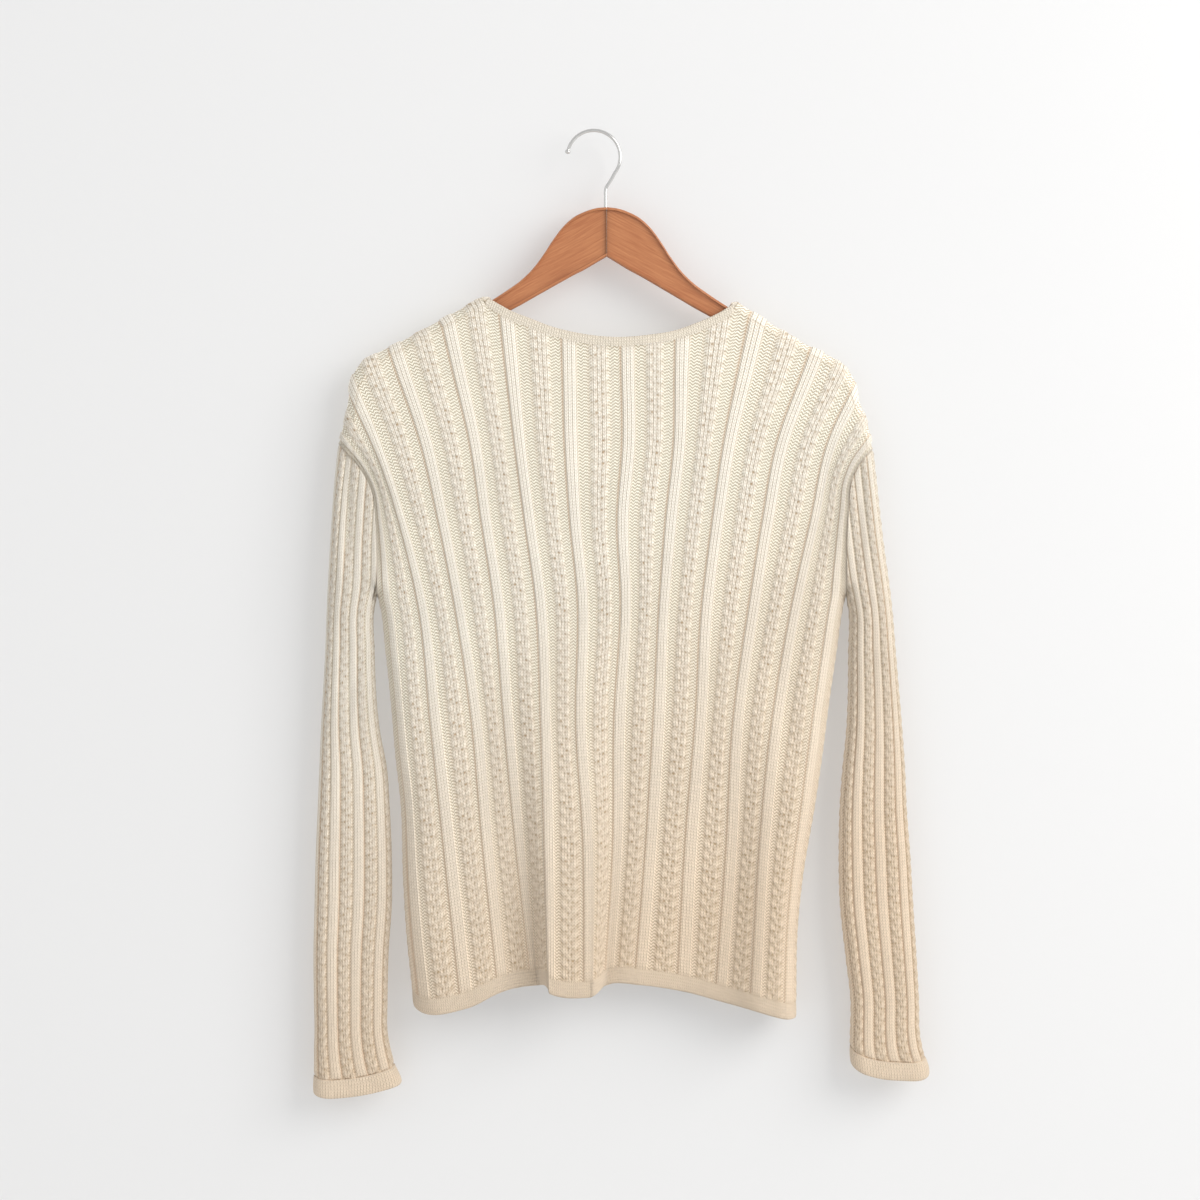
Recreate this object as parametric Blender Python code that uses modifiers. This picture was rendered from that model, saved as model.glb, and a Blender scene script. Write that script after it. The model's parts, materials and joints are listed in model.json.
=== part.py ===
"""Ribbed, drop-shouldered cardigan hanging on a flat wooden hanger with a wire hook.

The origin is the point of the hook that rests on its peg. +Z is up, +X is to the right of
someone who looks at the cardigan's back, and the back faces -Y. All sizes in the tables are in
millimetres; they become metres when a mesh is made.

The body is one flattened tube and each sleeve another. A point of the cloth is found from its
place across and down the garment: near a folded edge the surface rounds over to meet the other
side, further in it lies at the tube's half depth, and the hanging folds are added to that.
Ribs and plaits are raised in the outer points of each wall over a plain inside.
"""
import math

import bmesh
import bpy
import numpy as np

MM = 0.001

# Cloth
WALL = 2.0            # between the ribs
RISE = 1.4            # of a rib or plait above the cloth between them
BAND_SINK = 0.6       # of the smooth bands below the top of the ribs
SEAM_GAP = 0.3
HEM_GAP = 0.45
ARMHOLE_GAP = 0.5
NOTCH_GAP = 0.6
NECK_GAP = 0.7
CREST_GAPS = (0.7, 1.8)
HEM_BAND = 15.0
CUFF_BAND = 17.0
NECK_BAND = 8.3
NECK_WALL = 1.5
FRONT_BAND = 28.0
BAND_LAP = 2.9        # from the over band's face to the under band's
BACK, FRONT = -1, 1

# Rib pattern, in repeats: a smooth rib at each whole number, a plait halfway to the next
FIRST_RIB, LAST_RIB = 1, 12
LEFT_SEAM, RIGHT_SEAM = 0.45, 12.55
RIB_FOOT, RIB_TOP = 0.155, 0.10
PLAIT_FOOT, PLAIT_TOP = 0.17, 0.10
SLEEVE_RIDGES = 8     # on each half of a sleeve
SLEEVE_RIDGE_TOP = (0.24, 0.76)

# Outer line of each shoulder, from the notch where the sleeve starts up to the neck, and the
# seam that lies behind it on the back: outer x, outer z, seam x, seam z
LEFT_SHOULDER = (
    (-240, -288, -226, -301),
    (-236, -271, -225, -284),
    (-232, -252, -224, -259),
    (-230, -234, -222, -241),
    (-227, -224, -218, -231),
    (-219, -212, -212, -222),
    (-208, -205, -204, -213),
    (-179, -191, -176, -198),
    (-146, -173, -142, -180),
    (-107, -151.5, -103, -159.5),
)
RIGHT_SHOULDER = (
    (256, -293, 251, -297.5),
    (252, -271, 246, -274),
    (243, -246, 237, -249),
    (238, -226, 230, -232),
    (223, -210, 218, -217),
    (192, -194, 189, -201),
    (157, -173, 154, -180),
    (131, -156, 127, -163),
)
NECK_CRESTS = ((-90, -151.8), (114, -158))    # the shoulder lines' run across the neck band
# Armhole seam from the armpit up to the notch: x, z
LEFT_ARMHOLE = (
    (-203, -431),
    (-203, -396),
    (-204.5, -359),
    (-208, -330),
    (-216, -314),
    (-226, -301),
    (-240, -288),
)
RIGHT_ARMHOLE = (
    (230, -431),
    (230.3, -396),
    (232, -350),
    (236, -319),
    (245, -304),
    (251, -297.5),
    (256, -293),
)
ARMPIT = -431

# Side edges of the body below the armpit: height, left x, right x
BODY_SIDES = (
    (-431, -203, 230),
    (-438, -201.3, 228.5),
    (-482, -196, 222),
    (-530, -191, 215),
    (-577, -187, 209),
    (-624, -182, 202),
    (-689, -180, 191),
    (-740, -177, 186),
    (-802, -171, 185),
    (-850, -169, 185),
)
# Edges of the sleeves: height, left outer, left inner, right outer, right inner
SLEEVE_SIDES = (
    (-288, -240, -193, 255.5, 212.5),
    (-330, -244, -197, 260, 217),
    (-375, -247, -200, 265, 222),
    (-431, -250, -203, 272.5, 230),
    (-438, -250.3, -204.7, 273.3, 231.5),
    (-482, -252, -205, 277, 232),
    (-554, -256, -200, 283, 230),
    (-589, -257.5, -193.5, 285.5, 226.5),
    (-624, -259, -191, 287, 224),
    (-671, -261, -189, 290.5, 223),
    (-713, -262, -189, 293, 224),
    (-760, -263, -192, 296, 229),
    (-807, -262.5, -193, 298.5, 234),
    (-831, -262, -193, 299, 233.5),
    (-848, -262.5, -190, 302, 233),
    (-862, -262.5, -186, 307, 234),
    (-876, -263, -180, 309, 235),
    (-900, -263, -178, 309, 236),
)
# Lower edge of the cuffs: share from the underarm edge to the outer edge, left z, right z
CUFFS = (
    (0, -878, -861),
    (0.2, -884, -870),
    (0.4, -889, -875),
    (0.6, -892, -876.5),
    (0.8, -893, -876.5),
    (1, -889, -871),
)
# Rows of the sleeves' walls: each sleeve is one cut piece, parted at the elbow into two solids
ELBOW = -640.0
FOREARM_ROWS = 7
UPPER_ARM_ROWS = (0, 0.191, 0.383, 0.574, 0.745, 0.915, 1)    # shares of the way up to the armhole
# Flattened tubes: height, body half depth, body edge rounding, sleeve half depth, its rounding
TUBES = (
    (-140, 11, 11, 11, 11),
    (-215, 11.5, 11.5, 11.5, 11.5),
    (-290, 13, 12, 13, 12),
    (-360, 15, 14, 15, 14),
    (-432, 17, 16, 17, 16),
    (-482, 18, 18, 15, 16),
    (-560, 19, 21, 13, 16),
    (-700, 18.5, 22, 12, 16),
    (-830, 16, 20, 11.5, 14),
    (-900, 16, 20, 11.5, 13),
)
# Where the ribs of the back and fronts run: x of ribs 2 to 11 at each height
RIB_HEIGHTS = (-221, -285, -359, -433, -544, -655, -776)
RIB_PLACES = (
    (-234, -206, -181, -162, -149, -136, -122),
    (-179, -158, -142, -128, -110, -100, -87),
    (-126, -112, -102, -91, -82, -71, -57),
    (-77, -71, -62, -52, -47, -45, -44),
    (-25, -24, -20, -13, -15, -7, -6),
    (29, 30, 24, 27, 21, 19, 11),
    (80, 78, 69, 62, 57, 50, 40),
    (141, 125, 112, 102, 96, 87, 81),
    (198, 173, 158, 146, 130, 125, 116),
    (251, 219, 202, 185, 166, 154, 147),
)
# Lower edge of the back at each place across, and of the fronts: repeat, back z, front z
HEM = (
    (0.45, -807, -807),
    (1, -814, -806),
    (2, -808, -798),
    (3, -793, -789),
    (4, -788, -785),
    (4.7, -788, -784.5),
    (5.1, -795, -784.5),
    (6, -797, -784.5),
    (6.4, -795, -784.5),
    (7, -787, -784),
    (8, -788, -785),
    (9, -794, -790),
    (10, -803, -799),
    (11, -811, -808),
    (12, -819, -815),
    (12.55, -819, -819),
)
# Hanging folds that stand away from the tube, in repeats across: start and end of the rise,
# start and end of the fall, depth at the hem, height where the fold begins
BACK_FOLDS = (
    (0.5, 1.5, 2.3, 3.9, 11, -420),
    (4.05, 4.95, 6.05, 7.0, 25, -430),
    (10.1, 11.2, 11.9, 12.5, 11, -480),
    (7.3, 8.2, 9.3, 10.3, -4, -400),
)
FRONT_FOLDS = (
    (1.0, 2.0, 2.4, 3.6, 6, -450),
    (4.0, 4.8, 5.2, 6.0, 4, -560),
    (7.4, 8.4, 8.8, 10.0, 7, -480),
    (10.4, 11.2, 11.5, 12.3, 4, -560),
)
FOLD_GROWTH = 1.35
FOLD_BOTTOM = -800
# Rows of the body's walls: level below the waist, and above it at shares of the way to the top
WAIST = -520.0
LOWER_ROWS = 6
UPPER_ROWS = (0, 0.2, 0.4, 0.6, 0.78, 0.9, 0.966, 0.991, 1)

# Neckline
BACK_NECK = (
    (-99, -153.5),
    (-81, -165),
    (-61, -173),
    (-38, -181.5),
    (-7, -188),
    (22, -190),
    (51, -187.5),
    (75, -183),
    (107, -170.5),
    (124, -159.5),
)
CENTRE_FRONT = 9.0
FRONT_NECK_LOW = -248
SCOOP = 2.2                      # 2 is a parabola, more is squarer
NECK_CORNERS = ((-99, -151.65), (124, -156.8))
NECK_SEAM = (LEFT_SHOULDER[-1][:2], RIGHT_SHOULDER[-1][:2], FRONT_NECK_LOW - NECK_BAND)
NECK_COLUMNS = (4.67, 8.67)      # columns that end at the neck's corners, in repeats
CENTRE_COLUMNS = (6.25, 6.75)    # and at the centre front
NECK_REACH, EDGE_REACH = 1.7, 2.5
CORNER_STEPS = (0.03, 0.10)
WRAP_STEP = 0.35                 # share of the way from the shoulder's edge to its seam

# Buttons
BUTTON_HEIGHTS = (-258, -343, -428, -513, -598, -683, -768)
BUTTON_RADIUS = 7.5
BUTTON_DEPTH = 2.8

# Hanger: distance from the middle, upper edge, lower edge
HANGER_ARM = (
    (0, -70, -115),
    (20, -74.5, -127.5),
    (32, -81, -133),
    (41, -91.5, -138),
    (50, -104, -144),
    (58, -117, -149),
    (68, -128.5, -154.5),
    (79, -138, -160.5),
    (93, -146, -168),
    (107, -158.5, -175),
    (116, -163, -180),
    (155, -183, -200.5),
    (188, -202.5, -217),
)
HANGER_TIP = ((200, -208.5), (205, -213), (203, -220), (196, -221.5))
HANGER_MIDDLE = 9.0
HANGER_THICK = 12.0
HANGER_EDGE = 4.0
HANGER_TILT = 0.012

# Hook
WIRE = 3.2
HOOK_RADIUS = 24.5
HOOK_CENTRE = (-3.0, -22.9)
HOOK_START, HOOK_END = 161.0, -38.0     # degrees, from the ball round over the top
STEM_X = 8.0
# Ball at the hook's tip: place along the wire, width in wires
HOOK_TIP = ((5.0, 0.5), (4.5, 1.15), (3.0, 1.6), (1.5, 1.3), (0.8, 1.0))


def smooth_line(rows, steps=8):
    """Points of a smooth curve through the rows, a fixed number of steps between neighbours."""
    rows = np.asarray(rows, float)
    padded = np.vstack([2 * rows[0] - rows[1], rows, 2 * rows[-1] - rows[-2]])
    t = np.linspace(0, 1, steps, endpoint=False)[:, None]
    pieces = []
    for a, b, c, d in zip(padded, padded[1:], padded[2:], padded[3:]):
        pieces.append(b + 0.5 * t * (c - a) + t ** 2 * (a - 2.5 * b + 2 * c - 0.5 * d)
                      + t ** 3 * (1.5 * (b - c) + 0.5 * (d - a)))
    return np.vstack(pieces + [rows[-1:]])


def read_table(at, keys, values):
    """Smooth reading of a table's column at any key, straight beyond its ends."""
    keys, values = np.asarray(keys, float), np.asarray(values, float)
    if keys[0] > keys[-1]:
        keys, values = keys[::-1], values[::-1]
    steps = np.diff(keys)
    rates = np.diff(values) / steps
    slopes = np.concatenate([rates[:1], (rates[1:] * steps[:-1] + rates[:-1] * steps[1:])
                             / (steps[1:] + steps[:-1]), rates[-1:]])
    at = np.asarray(at, float)
    n = np.clip(np.searchsorted(keys, at) - 1, 0, len(steps) - 1)
    t = np.clip((at - keys[n]) / steps[n], 0, 1)
    inside = ((2 * t ** 3 - 3 * t ** 2 + 1) * values[n] + (t ** 3 - 2 * t ** 2 + t) * steps[n] * slopes[n]
              + (3 * t ** 2 - 2 * t ** 3) * values[n + 1] + (t ** 3 - t ** 2) * steps[n] * slopes[n + 1])
    below, above = np.minimum(at - keys[0], 0), np.maximum(at - keys[-1], 0)
    return inside + below * slopes[0] + above * slopes[-1]


def ease(t):
    """Soft step from 0 to 1."""
    t = np.clip(t, 0, 1)
    return t * t * (3 - 2 * t)


def column(table, n):
    """One column of a table."""
    return [row[n] for row in table]


def tube_size(z, first):
    """Half depth and edge rounding at a height: first is 1 for the body and 3 for a sleeve."""
    heights = column(TUBES, 0)
    return read_table(z, heights, column(TUBES, first)), read_table(z, heights, column(TUBES, first + 1))


def nearest(x, z, lines):
    """Distance in from the nearest line, and the direction away from it, for each point.

    The cloth lies to the left of each line as it runs, and a point just outside counts as
    being on the line.
    """
    points = np.stack([x.ravel(), z.ravel()], -1)
    starts = np.vstack([line[:-1] for line in lines])
    runs = np.vstack([np.diff(line, axis=0) for line in lines])
    square = np.stack([-runs[:, 1], runs[:, 0]], -1) / np.linalg.norm(runs, axis=1, keepdims=True)
    away = points[:, None] - starts
    t = np.clip((away * runs).sum(-1) / (runs ** 2).sum(-1), 0, 1)
    away = away - t[..., None] * runs
    far = np.hypot(away[..., 0], away[..., 1])
    best = far.argmin(1)
    rows = np.arange(len(points))
    distance, away, square = far[rows, best], away[rows, best], square[best]
    close = distance < 0.3
    direction = np.where(close[:, None], square, away / np.maximum(distance, 1e-6)[:, None])
    outside = (distance < 1.5) & ((away * square).sum(-1) < 0)
    distance = np.where(outside, 0, distance)
    direction = np.where(outside[:, None], square, direction)
    return distance.reshape(x.shape), direction.reshape(x.shape + (2,))


def edge_down(table, n, top):
    """Edge line from a height down to the table's last row, from one of its columns."""
    heights = np.arange(top, table[-1][0] - 5, -6.0)
    return np.stack([read_table(heights, column(table, 0), column(table, n)), heights], -1)


def edge_lines():
    """Folded edges that the body's surface and each sleeve's surface round over to."""
    lines = {}
    for n, (name, shoulder) in enumerate((("left", LEFT_SHOULDER), ("right", RIGHT_SHOULDER))):
        upper = smooth_line([row[:2] for row in shoulder])[::-1]
        outer = edge_down(SLEEVE_SIDES, 1 + 2 * n, shoulder[0][1])
        line = np.vstack([NECK_CRESTS[n], upper, outer[1:]])
        sleeve = edge_down(SLEEVE_SIDES, 2 + 2 * n, ARMPIT)
        body = edge_down(BODY_SIDES, 1 + n, ARMPIT)
        if name == "left":
            lines[name] = [line, sleeve[::-1]]
            lines["body"] = [line, body]
        else:
            lines[name] = [line[::-1], sleeve]
            lines["body"] += [line[::-1], body[::-1]]
    return lines


EDGES = edge_lines()


def side_edge(z, right):
    """x of the body's side edge, and of the armhole above it."""
    armhole = RIGHT_ARMHOLE if right else LEFT_ARMHOLE
    low = read_table(z, column(BODY_SIDES, 0), column(BODY_SIDES, 2 if right else 1))
    high = read_table(z, column(armhole, 1), column(armhole, 0))
    inward = -ARMHOLE_GAP if right else ARMHOLE_GAP
    return np.where(z < ARMPIT + 0.01, low, high + inward)


def round_in(share, width, rounding):
    """Distance in from a folded edge, at a share of the cloth between it and a line width away."""
    quarter = rounding * math.pi / 2
    bent = rounding * np.arccos(np.clip(1 - width / rounding, -1, 1))
    length = np.where(width > rounding, width - rounding + quarter, bent)
    along = share * length
    return np.where(along < quarter, rounding * (1 - np.cos(np.minimum(along, quarter) / rounding)),
                    along - quarter + rounding)


def body_x(repeat, z):
    """x of a place across the back or fronts, given in repeats, at a height."""
    repeat, z = np.broadcast_arrays(np.asarray(repeat, float), np.asarray(z, float))
    ribs = np.stack([read_table(z, RIB_HEIGHTS, places) for places in RIB_PLACES], -1)
    n = np.clip(np.floor(repeat).astype(int) - 2, 0, len(RIB_PLACES) - 2)
    low = np.take_along_axis(ribs, n[..., None], -1)[..., 0]
    high = np.take_along_axis(ribs, n[..., None] + 1, -1)[..., 0]
    x = low + (repeat - 2 - n) * (high - low)
    rounding = tube_size(z, 1)[1]
    left, right = side_edge(z, False), side_edge(z, True)
    from_left = round_in((repeat - LEFT_SEAM) / (2 - LEFT_SEAM), ribs[..., 0] - left, rounding)
    from_right = round_in((RIGHT_SEAM - repeat) / (RIGHT_SEAM - 11), right - ribs[..., -1], rounding)
    x = np.where(repeat < 2, left + from_left, x)
    return np.where(repeat > 11, right - from_right, x)


def fold_depth(repeat, z, folds):
    """How far the hanging folds stand out from the tube."""
    depth = np.zeros(np.broadcast(repeat, z).shape)
    for rise, crest, fall, foot, height, top in folds:
        growth = np.clip((top - z) / (top - FOLD_BOTTOM), 0, 1.1) ** FOLD_GROWTH
        across = ease((repeat - rise) / (crest - rise)) * ease((foot - repeat) / (foot - fall))
        depth = depth + height * growth * across
    return depth


def surface(x, z, side, edges, size, folds=None, on_edge=None, edge_gap=0.0):
    """Points and outward normals of a tube's front or back.

    On the rounded edge the section is a quarter ellipse, so the normal turns from across the
    garment at the edge to straight out of it where the rounding ends. folds is the depth that
    hanging folds add and its slope along x.
    """
    distance, inward = nearest(x, z, edges)
    depth, rounding = size
    cosine = np.clip(1 - distance / rounding, 0, 1)
    if on_edge is not None:
        cosine = np.where(on_edge, 1.0, cosine)
    sine = np.sqrt(1 - cosine ** 2)
    out = depth * sine
    lean = -inward * (depth * cosine)[..., None]
    rise = rounding * sine
    if folds is not None:
        fold, slope = folds
        out = out + fold * sine
        lean[..., 0] -= rise * slope
    if on_edge is not None:
        out = np.where(on_edge, edge_gap, out)
    points = np.stack([x, side * out, z], -1)
    normals = np.stack([lean[..., 0], side * rise, lean[..., 1]], -1)
    return points, normals / np.linalg.norm(normals, axis=-1, keepdims=True)


def fold_pair(repeat, x, z, folds):
    """Depth of the folds and its slope along x, on a grid of columns by rows."""
    depth = fold_depth(repeat, z, folds)
    step = 0.02
    change = fold_depth(repeat + step, z, folds) - fold_depth(repeat - step, z, folds)
    run = body_x(repeat + step, z) - body_x(repeat - step, z)
    return depth, np.where(np.abs(run) > 1e-4, change / np.where(np.abs(run) > 1e-4, run, 1), 0)


def thicken(name, outer, inner, marks, cells, material, closed=False):
    """One closed wall between an outer grid of points and a coarser inner one.

    outer is columns by rows; inner has one column for each entry of marks, the outer columns
    that the two share. cells says which block of columns is cloth at each row. The walls
    along the borders are one face for each block, so nothing is left open.
    """
    blocks, rows = cells.shape
    mesh = bmesh.new()
    made = {}

    def corner(layer, col, row):
        grid = outer if layer == "outer" else inner
        col = col % len(grid) if closed else col
        key = (layer, col, row)
        if key not in made:
            made[key] = mesh.verts.new(grid[col, row] * MM)
        return made[key]

    for block in range(blocks):
        first, last = marks[block], marks[block + 1]
        for row in range(rows):
            if not cells[block, row]:
                continue
            for col in range(first, last):
                mesh.faces.new([corner("outer", col, row), corner("outer", col + 1, row),
                                corner("outer", col + 1, row + 1), corner("outer", col, row + 1)])
            mesh.faces.new([corner("inner", block, row + 1), corner("inner", block + 1, row + 1),
                            corner("inner", block + 1, row), corner("inner", block, row)])
            for edge_row, open_side in ((row, row == 0 or not cells[block, row - 1]),
                                        (row + 1, row == rows - 1 or not cells[block, row + 1])):
                if open_side:
                    ring = [corner("outer", col, edge_row) for col in range(first, last + 1)]
                    ring += [corner("inner", block + 1, edge_row), corner("inner", block, edge_row)]
                    mesh.faces.new(ring)
            for mark, other in ((block, block - 1), (block + 1, block + 1)):
                beyond = other % blocks if closed else other
                if 0 <= beyond < blocks and cells[beyond, row]:
                    continue
                mesh.faces.new([corner("outer", marks[mark], row), corner("outer", marks[mark], row + 1),
                                corner("inner", mark, row + 1), corner("inner", mark, row)])
    bmesh.ops.recalc_face_normals(mesh, faces=mesh.faces)
    if mesh.calc_volume(signed=True) < 0:
        bmesh.ops.reverse_faces(mesh, faces=mesh.faces)
    return finish(name, mesh, material)


def finish(name, mesh, material, smooth_angle=40.0):
    """Put a bmesh in the cardigan's collection as a named object with its material."""
    data = bpy.data.meshes.new(name)
    mesh.to_mesh(data)
    mesh.free()
    data.shade_smooth()
    data.set_sharp_from_angle(angle=math.radians(smooth_angle))
    obj = bpy.data.objects.new(name, data)
    data.materials.append(material)
    collection.objects.link(obj)
    return obj


def make_material(name, colour, roughness, metallic=0.0):
    """Principled material of one colour."""
    material = bpy.data.materials.new(name)
    material.use_nodes = True
    shader = material.node_tree.nodes["Principled BSDF"]
    shader.inputs["Base Color"].default_value = (*colour, 1)
    shader.inputs["Roughness"].default_value = roughness
    shader.inputs["Metallic"].default_value = metallic
    material.diffuse_color = (*colour, 1)
    return material


def body_columns(first, last, extra=()):
    """Places across a panel at the feet and tops of its ribs and plaits, and their heights.

    Returns the places, the raised share of each, and the columns that the inside shares: the
    panel's two edges and the feet. extra places follow the pattern that they fall in.
    """
    places, raised, feet = [first], [0.0], [first]
    for n in range(2 * FIRST_RIB, 2 * LAST_RIB + 1):
        foot, top = (RIB_FOOT, RIB_TOP) if n % 2 == 0 else (PLAIT_FOOT, PLAIT_TOP)
        ridge = [n / 2 - foot, n / 2 - top, n / 2 + top, n / 2 + foot]
        if ridge[0] > first and ridge[-1] < last:
            feet += [ridge[0], ridge[-1]]
            places += ridge
            raised += [0.0, 1.0, 1.0, 0.0]
    feet.append(last)
    plain = np.array(places + [last])
    places = np.sort(np.append(plain, extra))
    marks = [int(np.argmin(np.abs(places - foot))) for foot in sorted(feet + list(extra))]
    return places, np.interp(places, plain, raised + [0.0]), marks


def find_height(x_at, line, low, high):
    """Height at which each column meets a line given as x and z points."""
    order = np.argsort(line[:, 0])
    xs, zs = line[order, 0], line[order, 1]
    low, high = low.copy(), high.copy()
    for _ in range(45):
        middle = (low + high) / 2
        inside = middle < np.interp(x_at(middle), xs, zs, left=-1000, right=-1000)
        low, high = np.where(inside, middle, low), np.where(inside, high, middle)
    return low


def beside(line, distance):
    """Line moved sideways, to the right as it runs."""
    runs = np.gradient(line, axis=0)
    runs /= np.linalg.norm(runs, axis=1, keepdims=True)
    return line + distance * np.stack([runs[:, 1], -runs[:, 0]], -1)


def scoop(across, left, right, low):
    """Front neck line at places from -1 to 1 between its two corners."""
    across = np.asarray(across, float)
    x = left[0] + (right[0] - left[0]) * (across + 1) / 2
    top = left[1] + (right[1] - left[1]) * (across + 1) / 2
    return np.stack([x, low + (top - low) * np.abs(across) ** SCOOP], -1)


def back_top_line():
    """Top of the back: left shoulder seam, neck seam, right shoulder seam."""
    left = smooth_line([row[2:] for row in LEFT_SHOULDER])
    right = smooth_line([row[2:] for row in RIGHT_SHOULDER])[::-1]
    neck = beside(smooth_line(BACK_NECK, 4), NECK_BAND)
    neck = neck[(neck[:, 0] > left[-1, 0] + 1) & (neck[:, 0] < right[0, 0] - 1)]
    return np.vstack([left, neck, right])


def neck_fade(places, z, place):
    """Share of a neck corner's sideways shift that each column takes."""
    return ease((z + 420) / 240) * np.clip(1 - np.abs(places - place) / NECK_REACH, 0, 1)


def back_x(places, z):
    """x of the back's columns, two of which are brought to the corners of the neck."""
    x = body_x(places, z)
    for place, shoulder in zip(NECK_COLUMNS, (LEFT_SHOULDER, RIGHT_SHOULDER)):
        corner = shoulder[-1][2:]
        x = x + (corner[0] - body_x(place, corner[1])) * neck_fade(places, z, place)
    return x


def level_rows(low, high, count):
    """Rows of heights for each column, evenly spaced between two heights."""
    share = np.linspace(0, 1, count)
    return low[:, None] + share * (high - low)[:, None]


def panel_wall(name, places, raised, marks, heights, side, folds, material, cells=None, x_grid=None,
               side_of=None, on_edge=None, edge_gap=0.0, sink=0.0, wall=WALL):
    """Wall of the back or a front from its grid of heights."""
    z = heights
    repeat = np.broadcast_to(places[:, None], z.shape)
    x = body_x(repeat, z) if x_grid is None else x_grid
    side_of = side if side_of is None else side_of
    points, normals = surface(x, z, side_of, EDGES["body"], tube_size(z, 1),
                              fold_pair(repeat, x, z, folds), on_edge, edge_gap)
    lift = sink + (RISE - sink) * (1 - raised[:, None, None]) if raised is not None else sink
    outer = points - normals * lift
    inner = (points - normals * (RISE + wall))[marks]
    if cells is None:
        cells = np.ones((len(marks) - 1, z.shape[1] - 1), bool)
    return thicken(name, outer, inner, marks, cells, material)


def hem_height(places, marks, side):
    """Lower edge of the back or fronts at each place across, straight between the marks."""
    knots = places[marks]
    return np.interp(places, knots, read_table(knots, column(HEM, 0), column(HEM, 1 if side == BACK else 2)))


def side_seams(places, heights):
    """Marks the grid points that lie on a side seam below the armpit."""
    seam = ((places <= LEFT_SEAM) | (places >= RIGHT_SEAM))[:, None]
    return seam & (heights < ARMPIT + 0.01)


def body_rows(places, hem, top, shares):
    """Heights of a panel's rows: level over the lower part, then spread up to its top edge."""
    waist = np.full(len(places), WAIST)
    lower = level_rows(hem, waist, LOWER_ROWS + 1)[:, :-1]
    upper = waist[:, None] + np.array(shares) * (top - waist)[:, None]
    seam = ((places <= LEFT_SEAM) | (places >= RIGHT_SEAM))[:, None]
    near = np.abs(upper - ARMPIT) < 20
    return np.hstack([lower, np.where(near & seam, ARMPIT, upper)])


def back_top(places, line):
    """Height at which each column of the back meets a line along its top."""
    low, high = np.full(len(places), WAIST), np.full(len(places), -100.0)
    return find_height(lambda z: back_x(places, z), line, low, high)


def make_back(material, band_material):
    """Back panel and its hem band."""
    by_corner = [place + turn * step for place, turn in zip(NECK_COLUMNS, (1, -1)) for step in CORNER_STEPS]
    places, raised, marks = body_columns(LEFT_SEAM, RIGHT_SEAM, by_corner)
    top = back_top(places, beside(back_top_line(), SEAM_GAP))
    hem = hem_height(places, marks, BACK) + HEM_BAND
    heights = body_rows(places, hem, top, UPPER_ROWS[:-2] + UPPER_ROWS[-1:])
    x = back_x(np.broadcast_to(places[:, None], heights.shape), heights)
    panel_wall("back", places, raised, marks, heights, BACK, BACK_FOLDS, material, x_grid=x,
               on_edge=side_seams(places, heights), edge_gap=SEAM_GAP / 2)
    make_hem_band("back_hem_band", places, marks, lambda z: back_x(places, z), BACK, BACK_FOLDS,
                  band_material)
    neck = (places > NECK_COLUMNS[0] + 1e-6) & (places < NECK_COLUMNS[1] - 1e-6)
    return np.stack([x[:, -1], heights[:, -1]], -1)[neck]


def make_hem_band(name, places, marks, x_at, side, folds, material):
    """Smooth band below a panel, on the panel's own columns."""
    low = hem_height(places, marks, side)
    heights = level_rows(low, low + HEM_BAND - HEM_GAP, 2)
    x = np.stack([x_at(heights[:, 0]), x_at(heights[:, 1])], 1)
    panel_wall(name, places, None, marks, heights, side, folds, material, x_grid=x,
               on_edge=side_seams(places, heights), edge_gap=SEAM_GAP / 2, sink=BAND_SINK,
               wall=WALL - BAND_SINK)


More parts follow.
